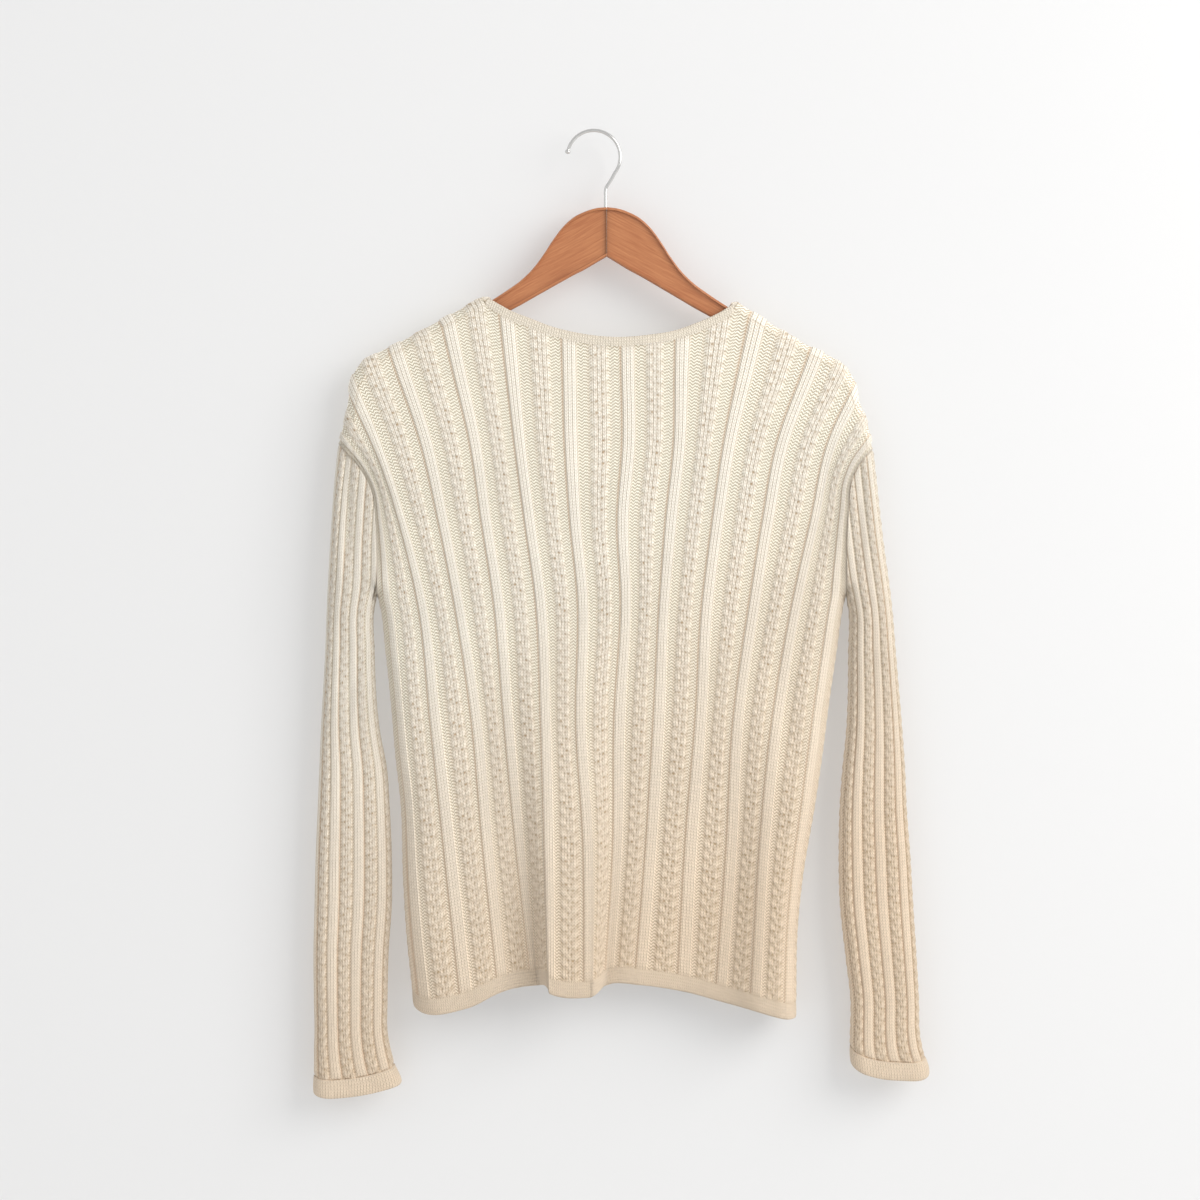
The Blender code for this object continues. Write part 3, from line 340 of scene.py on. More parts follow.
class Form:
    """Surface of the flattened tubes that body and sleeves make, as functions of place and height."""

    fold_growth: float = 1.35
    fold_bottom: float = -800.0

    def __init__(self, cut: Cut) -> None:
        """Work out the folded edges of the body and of each sleeve."""
        self.cut = cut
        self.edges: dict[object, list[Array]] = {"body": []}
        for hand in Hand:
            upper = smooth_line([row[:2] for row in cut.shoulders[hand.value]])[::-1]
            top = cut.shoulders[hand.value][0][1]
            line = np.vstack([cut.neck_crests[hand.value], upper,
                              self._edge_down(cut.sleeve_sides, 1 + 2 * hand.value, top)[1:]])
            sleeve = self._edge_down(cut.sleeve_sides, 2 + 2 * hand.value, cut.armpit)
            body = self._edge_down(cut.body_sides, 1 + hand.value, cut.armpit)
            if hand is Hand.LEFT:
                self.edges[hand] = [line, sleeve[::-1]]
                self.edges["body"] += [line, body]
            else:
                self.edges[hand] = [line[::-1], sleeve]
                self.edges["body"] += [line[::-1], body[::-1]]
        self.edges["shoulders"] = self.edges["body"][::2]

    @staticmethod
    def _edge_down(table: Table, n: int, top: float) -> Array:
        """Edge line from a height down to a table's last row, a point every 6 mm."""
        heights = np.arange(top, table[-1][0] - 5, -6.0)
        return np.stack([look_up(heights, table, n), heights], -1)

    def tube(self, z: Array, sleeve: bool) -> tuple[Array, Array]:
        """Half depth and edge rounding of the body's or a sleeve's tube at a height."""
        first = 3 if sleeve else 1
        return look_up(z, self.cut.tubes, first), look_up(z, self.cut.tubes, first + 1)

    def below_armpit(self, z: Array) -> Array:
        """Marks heights at which the body's edge is a side seam, and not an armhole."""
        return z < self.cut.armpit + 0.01

    def side_edge(self, z: Array, hand: Hand) -> Array:
        """x of the body's side edge, and of the armhole above the armpit."""
        return np.where(self.below_armpit(z), look_up(z, self.cut.body_sides, 1 + hand.value),
                        look_up(z, self.cut.armholes[hand.value], 0, key=1))

    @staticmethod
    def round_in(share: Array, width: Array, rounding: Array) -> Array:
        """Distance in from a folded edge, at a share of the cloth between it and a line a width away.

        The cloth runs a quarter circle round the edge and then straight.
        """
        quarter = rounding * PI / 2
        bent = rounding * np.arccos(np.clip(1 - width / rounding, -1, 1))
        length = np.where(width > rounding, width - rounding + quarter, bent)
        along = share * length
        return np.where(along < quarter, rounding * (1 - np.cos(np.minimum(along, quarter) / rounding)),
                        along - quarter + rounding)

    def body_x(self, repeat: Array | float, z: Array | float) -> Array:
        """x of a place across the body, counted in repeats of the rib pattern, at a height."""
        cut = self.cut
        repeat, z = np.broadcast_arrays(np.asarray(repeat, float), np.asarray(z, float))
        ribs = np.stack([read_table(z, cut.rib_heights, places) for places in cut.rib_places], -1)
        n = np.clip(np.floor(repeat).astype(int) - 2, 0, len(cut.rib_places) - 2)
        low = np.take_along_axis(ribs, n[..., None], -1)[..., 0]
        high = np.take_along_axis(ribs, n[..., None] + 1, -1)[..., 0]
        x = low + (repeat - 2 - n) * (high - low)
        rounding = self.tube(z, False)[1]
        left, right = self.side_edge(z, Hand.LEFT), self.side_edge(z, Hand.RIGHT)
        first, last = cut.seams
        from_left = self.round_in((repeat - first) / (2 - first), ribs[..., 0] - left, rounding)
        from_right = self.round_in((last - repeat) / (last - 11), right - ribs[..., -1], rounding)
        x = np.where(repeat < 2, left + from_left, x)
        return np.where(repeat > 11, right - from_right, x)

    def sleeve_x(self, share: Array, z: Array, hand: Hand) -> Array:
        """x of a place round a sleeve, at a share of the way from its underarm to its outer edge."""
        outer, inner = (look_up(z, self.cut.sleeve_sides, n + 2 * hand.value) for n in (1, 2))
        width = np.abs(outer - inner)
        nearer = np.minimum(share, 1 - share) * 2
        edge_in = self.round_in(nearer, width / 2, self.tube(z, True)[1])
        return inner + np.sign(outer - inner) * np.where(share <= 0.5, edge_in, width - edge_in)

    def fold_depth(self, repeat: Array, z: Array, folds: tuple[Fold, ...]) -> Array:
        """How far the hanging folds stand out: each a soft rise and fall across, growing downwards."""
        depth = np.zeros(np.broadcast(repeat, z).shape)
        for fold in folds:
            growth = np.clip((fold.top - z) / (fold.top - self.fold_bottom), 0, 1.1) ** self.fold_growth
            across = ease((repeat - fold.rise) / (fold.crest - fold.rise)) * ease(
                (fold.foot - repeat) / (fold.foot - fold.fall))
            depth += fold.height * growth * across
        return depth

    def fold_pair(self, repeat: Array, z: Array, folds: tuple[Fold, ...]) -> tuple[Array, Array]:
        """Depth of the folds and its slope along x."""
        step = 0.02
        change = self.fold_depth(repeat + step, z, folds) - self.fold_depth(repeat - step, z, folds)
        run = self.body_x(repeat + step, z) - self.body_x(repeat - step, z)
        safe = np.where(np.abs(run) > 1e-4, run, 1)
        return self.fold_depth(repeat, z, folds), np.where(np.abs(run) > 1e-4, change / safe, 0)

    def surface(self, x: Array, z: Array, side: Array | float, part: Hand | str = "body",
                folds: tuple[Array, Array] | None = None, on_edge: Array | None = None) -> tuple[Array, Array]:
        """Points and outward normals of a tube's front or back.

        Near a folded edge the section is a quarter ellipse, whose half depth and rounding are
        the tube's; further in it is flat, and the folds are added.

        Args:
            x: places across.
            z: heights.
            side: -1 on the back and 1 on the front.
            part: the sleeve of a hand, or the body or its shoulders alone.
            folds: depth that folds add and its slope along x.
            on_edge: points that lie on the folded edge itself.

        Returns:
            Points and unit normals.
        """
        depth, rounding = self.tube(z, isinstance(part, Hand))
        x, z = np.broadcast_arrays(x, z)
        distance, inward = nearest(x, z, self.edges[part])
        cosine = np.clip(1 - distance / rounding, 0, 1)
        if on_edge is not None:
            cosine = np.where(on_edge, 1.0, cosine)
        sine = np.sqrt(1 - cosine ** 2)
        out = depth * sine
        lean = -inward * (depth * cosine)[..., None]
        rise = rounding * sine
        if folds is not None:
            out = out + folds[0] * sine
            lean[..., 0] -= rise * folds[1]
        points = np.stack([x, side * out, z], -1)
        normals = np.stack([lean[..., 0], side * rise, lean[..., 1]], -1)
        return points, normals / np.linalg.norm(normals, axis=-1, keepdims=True)


# ---------------------------------------------------------------- the knitted pattern


@dataclass(frozen=True)
class Ribbing:
    """Sizes of the ribs, furrows and plaits, and the functions that raise them."""

    wall: float = 2.0
    rise: float = 1.4          # of the solid's ribs above the cloth between them
    furrow: float = 1.5        # depth of the purl furrows below the solid's ribs
    repeat_wales: float = 14.0
    row: float = 2.9           # one row of stitches
    rib_foot: float = 0.155    # half width of a rib where the cloth is drawn in, in repeats
    rib_narrow: float = 0.125  # and where it is stretched
    plait_foot: float = 0.175  # half width of a plait
    plait_wide: float = 0.235  # and near the hem
    rib_height: float = 1.15   # of a rib above the furrows, and of the crown along its middle
    rib_crown: float = 0.15
    plait_height: float = 0.4  # of a plait's ground above the furrows, and of its strands
    strand_height: float = 0.9
    eyelet_pitch: float = 10.7
    eyelet_shift: float = 0.37  # of each ridge's braid against the one before it, in eyelets
    sleeve_rise: float = 2.3
    sleeve_rib: float = 0.115  # share of the sleeve's half that a rib takes
    sleeve_plait: float = 0.135
    sleeve_pairs: int = 4
    band_sink: float = 0.6     # of smooth bands below the solid's surface
    band_lift: float = 1.45    # of the over band above the fronts, and of the under band below them
    band_shares: tuple[float, ...] = (0, 0.02, 0.06, 0.14, 0.3, 0.5, 0.7, 0.86, 0.94, 0.98, 1.0)

    def band_heights(self, low: Array, height: float) -> Array:
        """Heights of a band's rows from its lower edge, close together at both edges."""
        return low[:, None] + np.array(self.band_shares) * (height - 0.05)

    def band_section(self, t: Array) -> tuple[Array, Array]:
        """Lift of a band's outer side and how full it is, at shares of its height.

        It is full but for its lower edge, where the fullness is the root of 1 - (1 - t)^9. It
        bulges by a half sine and leans in towards its seam.
        """
        full = np.sqrt(np.clip(1 - np.abs(1 - t) ** 9, 0, 1))
        return -self.band_sink - 1.2 * (1 - full) + 0.3 * np.sin(PI * t) - 0.35 * t, full

    def braid(self, across: Array, along: Array) -> Array:
        """Relief of a plait of three strands, from 0 to 1.

        Strand k swings as 0.6 sin(p), with p one turn for three eyelets plus a third of a turn
        for each k, and rises as sin(2p). Its section is a half circle, and the highest strand
        shows.

        Args:
            across: place from -1 to 1 across the plait.
            along: distance along it, in eyelets.
        """
        high = np.zeros(np.broadcast(across, along).shape)
        for k in range(3):
            p = 2 * PI * (along + k) / 3
            near = 1 - ((across - 0.60 * np.sin(p)) / 0.38) ** 2
            high = np.maximum(high, np.sqrt(np.maximum(near, 0)) * (0.72 + 0.28 * np.sin(2 * p)))
        return high

    def panel_places(self, first: float, last: float) -> tuple[Array, list[int]]:
        """Grid columns across a panel and those that the plain inside shares.

        Args:
            first: the panel's first place, in repeats.
            last: its last place.

        Returns:
            Places across, and the indices of the panel's edges and of each ridge's feet.
        """
        rib = np.array([-1, -0.91, -0.81, -0.68, -0.4, 0, 0.4, 0.68, 0.81, 0.91, 1]) * self.rib_foot
        plait = np.linspace(-1, 1, 10) * self.plait_foot
        knots, feet = [first], [first]
        for n in range(2, 25):
            offsets = rib if n % 2 == 0 else plait
            if n / 2 + offsets[0] > first and n / 2 + offsets[-1] < last:
                knots += list(n / 2 + offsets)
                feet += [n / 2 + offsets[0], n / 2 + offsets[-1]]
        knots, feet = knots + [last], feet + [last]
        gaps = np.diff(knots)
        extra = [np.linspace(a, b, 4)[1:-1] for a, b, gap in zip(knots, knots[1:], gaps) if gap > 0.1]
        places = np.unique(np.round(np.concatenate([knots, *extra]), 6))
        return places, sorted({int(np.argmin(np.abs(places - foot))) for foot in feet})

    def feet(self, along: Array) -> tuple[Array, Array]:
        """Half widths of ribs and of plaits, in repeats, at heights above the hem."""
        return (self.rib_narrow + (self.rib_foot - self.rib_narrow) * ease((450 - along) / 350),
                self.plait_foot + (self.plait_wide - self.plait_foot) * ease((380 - along) / 300))

    def panel_relief(self, places: Array, along: Array) -> tuple[Array, Array]:
        """Height of ribs and plaits above the furrows, in millimetres.

        A rib is a steep ramp with a crown that falls off with the square of the distance from its
        middle, and narrower where the cloth is stretched. A plait is a gentler ramp with the braid on it.

        Args:
            places: places across, in repeats.
            along: height above the hem, in millimetres.

        Returns:
            Height, and how far each point is raised from 0 to 1.
        """
        n = np.rint(2 * places)
        off = places - n / 2
        foot, wide = self.feet(along)
        rib = ease((foot + 0.004 - np.abs(off)) / 0.028)
        plait = ease((wide + 0.018 - np.abs(off)) / 0.08)
        high = self.braid(off / wide, along / self.eyelet_pitch + self.eyelet_shift * n)
        ribs = rib * (self.rib_height + self.rib_crown * (1 - (off / foot) ** 2))
        plaits = plait * (self.plait_height + self.strand_height * high)
        even = n % 2 == 0
        return np.where(even, ribs, plaits), np.where(even, rib, plait)

    def sleeve_places(self, hand: Hand) -> tuple[Array, Array, Array, Array, list[int]]:
        """Grid columns round a sleeve, down its back to the outer edge and up its front.

        Args:
            hand: which sleeve; the left one starts with a plait at the underarm.

        Returns:
            Share from underarm to outer edge, side, ridge number, place across the ridge from
            -1 to 1, and the columns that the plain inside shares. The first column comes
            again at the end.
        """
        share, across, ridge, marks = [], [], [], []
        start = 0.0
        for n in range(2 * self.sleeve_pairs):
            plain = n % 2 == (hand is Hand.LEFT)
            wide = self.sleeve_rib if plain else self.sleeve_plait
            t = np.sin(np.linspace(-PI / 2, PI / 2, 8 if plain else 11))[:-1]
            marks.append(len(share))
            share += list(start + wide * (t + 1) / 2)
            across += list(t)
            ridge += [n] * len(t)
            start += wide
        half = len(share)
        share, across, ridge = np.array(share), np.array(across), np.array(ridge)
        marks = marks + [half + m for m in marks] + [2 * half]
        side = np.repeat([Side.BACK.value, Side.FRONT.value], half)
        return (np.concatenate([share, 1 - share, [0.0]]), np.append(side, Side.BACK.value),
                np.concatenate([ridge, ridge + 2 * self.sleeve_pairs, [4 * self.sleeve_pairs]]),
                np.concatenate([across, across, [-1.0]]), marks)

    def sleeve_relief(self, ridge: Array, across: Array, along: Array, hand: Hand) -> tuple[Array, Array]:
        """Height of a sleeve's ridges above their narrow grooves: domes, with a braid on each second.

        Args:
            ridge: number of the ridge.
            across: place from -1 to 1 across it.
            along: height above the cuff, in millimetres.
            hand: which sleeve; ribs and plaits change places on the left one.

        Returns:
            Height in millimetres, and share raised.
        """
        dome = np.sqrt(np.maximum(0, 1 - np.abs(across) ** 2.6))
        high = self.braid(across * 1.06, along / self.eyelet_pitch + self.eyelet_shift * ridge)
        plait = ridge % 2 != (hand is Hand.LEFT)
        height = np.where(plait, dome * (0.9 + 1.5 * high), dome * (self.sleeve_rise - 0.4))
        return height, dome + 0 * height


RIBBING = Ribbing()


# ---------------------------------------------------------------- meshes


def link(name: str, data: ID) -> Object:
    """New object of a mesh, lamp or camera, in the scene."""
    obj = bpy.data.objects.new(name, data)
    bpy.context.scene.collection.objects.link(obj)
    return obj


def dress(name: str, mesh: Mesh, material: Material, sharp: float) -> Object:
    """New object of a mesh in its finish, smooth but for edges above an angle in degrees."""
    mesh.shade_smooth()
    mesh.set_sharp_from_angle(angle=math.radians(sharp))
    mesh.materials.append(material)
    return link(name, mesh)


def add_map(mesh: Mesh, name: str, uv: Array) -> None:
    """Give a mesh a map, a pair of numbers for each corner of its faces."""
    mesh.uv_layers.new(name=name).data.foreach_set("uv", uv.astype(np.float32).ravel())


def seat(obj: Object, slot: str, *nodes: str) -> None:
    """Let a piece ride on the one body, in place of its solids, and log its faces."""
    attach(obj, "root")
    if nodes:
        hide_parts(*nodes)
    LOG.info("%s: %d faces", obj.name, len(obj.data.polygons))


@dataclass
class Wall:
    """Closed wall of cloth between an outer grid of points and a coarser inner one.

    Points and normals lie on the tube, columns by rows. The outer side is lifted from it and the
    inner one lies a depth below it. The other fields have a value for each point, or fewer where
    they don't change. Where the wall goes round, the last column repeats the first.
    """

    points: Array
    normals: Array
    lift: Array
    depth: float
    col_marks: list[int]
    row_marks: list[int]
    wales: Array
    rows: Array
    raised: Array | float = 1.0
    # painted shade where the cloth sinks in at seams and rolled edges; the bump also dips there
    hollow_shade: Array | float = 0.0
    centres: Array = field(default_factory=lambda: np.zeros(1))
    plaits: Array = field(default_factory=lambda: np.zeros(1))
    foot: Array | float = 1.0
    around: bool = False
    cells: Array | None = None
    first: int = 0

    def _faces(self) -> tuple[list[Array], Array]:
        """Corner numbers of all faces, outer quads first, and the array of outer quads.

        Numbers count the outer grid column by column, and then the inner grid.
        """
        cols, rows = self.points.shape[:2]
        cm, rm = np.array(self.col_marks), np.array(self.row_marks)
        cells = np.ones((len(cm) - 1, len(rm) - 1), bool) if self.cells is None else self.cells
        outer = np.arange(cols * rows).reshape(cols, rows)
        inner = cols * rows + np.arange(len(cm) * len(rm)).reshape(len(cm), len(rm))
        fine = np.repeat(np.repeat(cells, np.diff(cm), 0), np.diff(rm), 1)
        quads = np.stack([outer[:-1, :-1], outer[1:, :-1], outer[1:, 1:], outer[:-1, 1:]], -1)[fine]
        under = np.stack([inner[:-1, :-1], inner[:-1, 1:], inner[1:, 1:], inner[1:, :-1]], -1)[cells]
        rims = []
        padded = np.pad(cells, 1)
        if self.around:
            padded[0], padded[-1] = padded[-2], padded[1]
        for i, j in np.argwhere(cells & ~padded[1:-1, :-2]):
            rims.append(np.append(outer[cm[i]:cm[i + 1] + 1, rm[j]][::-1], [inner[i, j], inner[i + 1, j]]))
        for i, j in np.argwhere(cells & ~padded[1:-1, 2:]):
            rims.append(np.append(outer[cm[i]:cm[i + 1] + 1, rm[j + 1]], [inner[i + 1, j + 1], inner[i, j + 1]]))
        for i, j in np.argwhere(cells & ~padded[:-2, 1:-1]):
            rims.append(np.append(outer[cm[i], rm[j]:rm[j + 1] + 1], [inner[i, j + 1], inner[i, j]]))
        for i, j in np.argwhere(cells & ~padded[2:, 1:-1]):
            rims.append(np.append(outer[cm[i + 1], rm[j]:rm[j + 1] + 1][::-1], [inner[i + 1, j], inner[i + 1, j + 1]]))
        return [*quads, *under, *rims], quads

    def build(self, name: str, material: Material, sharp: float = 75.0) -> Object:
        """Mesh object of the wall, with its stitch map and attributes.

        Args:
            name: name of the piece.
            material: its finish.
            sharp: angle above which an edge isn't smoothed, in degrees.

        Returns:
            The new object, with its place in its mesh.
        """
        cols, rows = self.points.shape[:2]
        pick = np.ix_(self.col_marks, self.row_marks)
        outer = self.points + self.normals * self.lift[..., None]
        inner = self.points - self.normals * self.depth
        points = np.vstack([outer.reshape(-1, 3), inner[pick].reshape(-1, 3)])
        grids = [np.broadcast_to(a, (cols, rows)) for a in (self.wales, self.rows, self.raised, self.hollow_shade, self.foot)]
        wales, courses, raised, hollow_shade, foot = (np.append(a.ravel(), a[pick].ravel()) for a in grids)
        faces, quads = self._faces()
        corners = points[quads]
        facing = np.cross(corners[:, 2] - corners[:, 0], corners[:, 3] - corners[:, 1])
        if (facing * self.normals.reshape(-1, 3)[quads[:, 0]]).sum() < 0:
            faces = [face[::-1] for face in faces]
        sizes = np.array([len(face) for face in faces])
        loops = np.concatenate(faces)
        starts = np.append(0, np.cumsum(sizes)[:-1])
        middle = np.add.reduceat(wales[loops], starts) / sizes
        ridge = np.abs(middle[:, None] - self.centres).argmin(1)
        real = np.arange(len(points))
        if self.around:
            for grid in (real[:cols * rows].reshape(cols, rows), real[cols * rows:].reshape(len(self.col_marks), -1)):
                grid[-1] = grid[0]
        used, packed = np.unique(real[loops], return_inverse=True)
        mesh = bpy.data.meshes.new(name)
        mesh.from_pydata((points[used] * MM).tolist(), [], np.split(packed, starts[1:]))
        mesh.validate(verbose=False)
        across = wales[loops] - np.repeat(self.centres[ridge], sizes)
        turns = (courses[loops] * RIBBING.row / RIBBING.eyelet_pitch
                 + np.repeat(RIBBING.eyelet_shift * (ridge + self.first), sizes))
        add_map(mesh, "stitch", np.stack([across, courses[loops]], -1))
        add_map(mesh, "ridge", np.stack([across / foot[loops], turns], -1))
        for label, values, domain in (("raised", raised[used], "POINT"), ("hollow_shade", hollow_shade[used], "POINT"),
                                      ("plait", self.plaits[ridge].astype(float), "FACE")):
            mesh.attributes.new(label, "FLOAT", domain).data.foreach_set("value", values.astype(np.float32))
        return dress(name, mesh, material, sharp)


def grid_object(name: str, points: Array, material: Material, uv: Array | None = None,
                sharp: float = 50.0) -> Object:
    """Mesh object of a closed profile carried along a path, with a face at each end.

    Args:
        name: name of the piece.
        points: stations by points round the profile, in millimetres.
        material: its finish.
        uv: map with one entry for each point and a last one that closes the ring.
        sharp: angle above which an edge isn't smoothed, in degrees.

    Returns:
        The new object, facing outwards.
    """
    stations, ring = points.shape[:2]
    wide = np.arange(stations * (ring + 1)).reshape(stations, ring + 1)
    quads = np.stack([wide[:-1, :-1], wide[1:, :-1], wide[1:, 1:], wide[:-1, 1:]], -1).reshape(-1, 4)
    real = (np.arange(stations)[:, None] * ring + np.arange(ring + 1) % ring).ravel()
    faces = [*quads, wide[0, :ring], wide[-1, :ring][::-1]]
    flat = points.reshape(-1, 3)
    mesh = bpy.data.meshes.new(name)
    mesh.from_pydata((flat * MM).tolist(), [], [real[face].tolist() for face in faces])
    if uv is not None:
        add_map(mesh, "grain", uv.reshape(-1, 2)[np.concatenate(faces)])
    tri = flat[real[quads]]
    volume = (np.cross(tri[:, 1] - tri[:, 0], tri[:, 2] - tri[:, 0]) * (tri[:, 0] - flat.mean(0))).sum()
    if volume < 0:
        mesh.flip_normals()
    return dress(name, mesh, material, sharp)


# ---------------------------------------------------------------- finishes


class Graph:
    """Short way to write the nodes of a material or of a node group."""

    def __init__(self, tree: NodeTree) -> None:
        """Keep the tree that nodes are added to."""
        self.tree = tree

    def node(self, kind: str, **settings: object) -> Node:
        """New node of a kind with its settings."""
        made = self.tree.nodes.new("ShaderNode" + kind)
        for key, value in settings.items():
            setattr(made, key, value)
        return made

    def join(self, value: object, socket: NodeSocket) -> None:
        """Link an output to a socket, or set the socket's own value."""
        if isinstance(value, NodeSocket):
            self.tree.links.new(value, socket)
        else:
            socket.default_value = value

    def feed(self, node: Node, **values: object) -> Node:
        """Join values to a node's inputs, whose names have small letters here and _ for a space."""
        for key, value in values.items():
            self.join(value, node.inputs[key.replace("_", " ").title().replace("Ior", "IOR")])
        return node

    def group(self, tree: NodeTree, **values: object) -> bpy.types.bpy_prop_collection:
        """Outputs of a shared group that is placed here with its inputs joined."""
        return self.feed(self.node("Group", node_tree=tree), **values).outputs

    def math(self, operation: str, *values: object, clamp: bool = False) -> NodeSocket:
        """Result of a Math node."""
        made = self.node("Math", operation=operation, use_clamp=clamp)
        for value, socket in zip(values, made.inputs):
            self.join(value, socket)
        return made.outputs[0]

    def mix(self, share: object, a: object, b: object) -> NodeSocket:
        """Colour between two, by a share."""
        made = self.node("Mix", data_type="RGBA")
        for value, n in ((share, 0), (a, 6), (b, 7)):
            self.join((*value, 1.0) if isinstance(value, tuple) else value, made.inputs[n])
        return made.outputs[2]

    def blend(self, share: object, a: object, b: object) -> NodeSocket:
        """Number between two, by a share."""
        made = self.node("Mix", data_type="FLOAT")
        for value, n in ((share, 0), (a, 2), (b, 3)):
            self.join(value, made.inputs[n])
        return made.outputs[0]

    def times(self, a: object, b: object, clamp: bool = False) -> NodeSocket:
        """Product of two numbers."""
        return self.math("MULTIPLY", a, b, clamp=clamp)

    def plus(self, a: object, b: object) -> NodeSocket:
        """Sum of two numbers."""
        return self.math("ADD", a, b)

    def minus(self, a: object, b: object, clamp: bool = False) -> NodeSocket:
        """Difference of two numbers."""
        return self.math("SUBTRACT", a, b, clamp=clamp)

    def line(self, value: object, slope: object, start: object, clamp: bool = False) -> NodeSocket:
        """A number times a slope, from a start."""
        return self.math("MULTIPLY_ADD", value, slope, start, clamp=clamp)

    def noise(self, vector: object, scale: object, detail: float = 3.0, rough: float = 0.5) -> NodeSocket:
        """Value of a noise texture."""
        made = self.feed(self.node("TexNoise"), vector=vector, scale=scale, detail=detail, roughness=rough)
        return made.outputs["Fac"]

    def scaled(self, vector: NodeSocket, by: Point) -> NodeSocket:
        """Vector multiplied part by part."""
        made = self.node("VectorMath", operation="MULTIPLY")
        for value, socket in zip((vector, by), made.inputs):
            self.join(value, socket)
        return made.outputs[0]

    def parts(self, vector: NodeSocket) -> bpy.types.bpy_prop_collection:
        """The three numbers of a vector."""
        return self.feed(self.node("SeparateXYZ"), vector=vector).outputs

    def attribute(self, name: str) -> NodeSocket:
        """Number that a piece carries under a name."""
        return self.node("Attribute", attribute_name=name).outputs["Fac"]

    def place(self) -> NodeSocket:
        """Place of a point on its piece, in metres."""
        return self.node("TexCoord").outputs["Object"]

    def map(self, name: str) -> NodeSocket:
        """One of a piece's own maps."""
        return self.node("UVMap", uv_map=name).outputs[0]

    def bump(self, shader: Node, height: NodeSocket, distance: float, strength: float, **settings: object) -> None:
        """Let a height tilt the normal of a shader, where 1 stands for a distance in metres."""
        made = self.feed(self.node("Bump", **settings), strength=strength, distance=distance, height=height)
        self.feed(shader, normal=made.outputs[0])


def new_group(name: str, inputs: tuple[tuple[str, str, float], ...],
              outputs: tuple[str, ...]) -> tuple[Graph, bpy.types.bpy_prop_collection, Node]:
    """Empty node group with named sockets.

    Args:
        name: name of the group.
        inputs: name, kind and usual value of each input.
        outputs: names of the outputs, all numbers.

    Returns:
        The group's graph, what it is given, and its output node.
    """
    tree = bpy.data.node_groups.new(name, "ShaderNodeTree")
    for label, kind, value in inputs:
        socket = tree.interface.new_socket(label, in_out="INPUT", socket_type="NodeSocket" + kind)
        if kind == "Float":
            socket.default_value = value
    for label in outputs:
        tree.interface.new_socket(label, in_out="OUTPUT", socket_type="NodeSocketFloat")
    return Graph(tree), tree.nodes.new("NodeGroupInput").outputs, tree.nodes.new("NodeGroupOutput")


def stitch_group() -> NodeTree:
    """Node group that draws stitches from a map of wales and rows.

    A knit stitch is a V: in each wale the leg is highest halfway out, and its rows are shifted
    upwards with the distance from the wale's middle. A purl stitch is a small arc: its rows are
    shifted by the cosine of the wale. Outputs are the height, how deep a point lies between the
    loops, which the material paints as shade, and one chance number for each stitch.
    """
    g, given, made = new_group("stitches", (("Stitch", "Vector", 0), ("Raised", "Float", 1), ("Slant", "Float", 0.75)),
                               ("Height", "Between", "Chance"))
    u, v = g.parts(given["Stitch"])[:2]
    place = g.math("FRACT", g.plus(u, 100.5))
    off = g.times(g.math("ABSOLUTE", g.minus(place, 0.5)), 2.0)
    outer = g.line(g.math("GREATER_THAN", off, 0.5), 0.6, 0.4)
    fall = g.math("POWER", g.math("ABSOLUTE", g.line(off, 2.0, -1.0)), 2.4)
    leg = g.minus(1.0, g.times(fall, outer))
    turn = g.minus(v, g.times(off, given["Slant"]))
    wave = g.line(g.math("COSINE", g.times(turn, 2 * PI)), 0.5, 0.5)
    knit = g.times(leg, g.line(wave, 0.45, 0.55))
    bow = g.times(g.math("COSINE", g.times(u, 1.5 * PI)), 0.32)
    purl_wave = g.math("COSINE", g.times(g.plus(v, bow), 2 * PI))
    purl = g.math("POWER", g.line(purl_wave, 0.5, 0.5), 0.8)
    height = g.blend(given["Raised"], purl, knit)
    cell = g.feed(g.node("CombineXYZ"), x=g.math("FLOOR", g.plus(u, 0.5)), y=g.math("FLOOR", v))
    chance = g.feed(g.node("TexWhiteNoise", noise_dimensions="2D"), vector=cell.outputs[0])
    between = g.math("POWER", g.minus(1.0, height, clamp=True), 1.25)
    g.feed(made, height=height, between=between, chance=chance.outputs["Value"])
    return g.tree


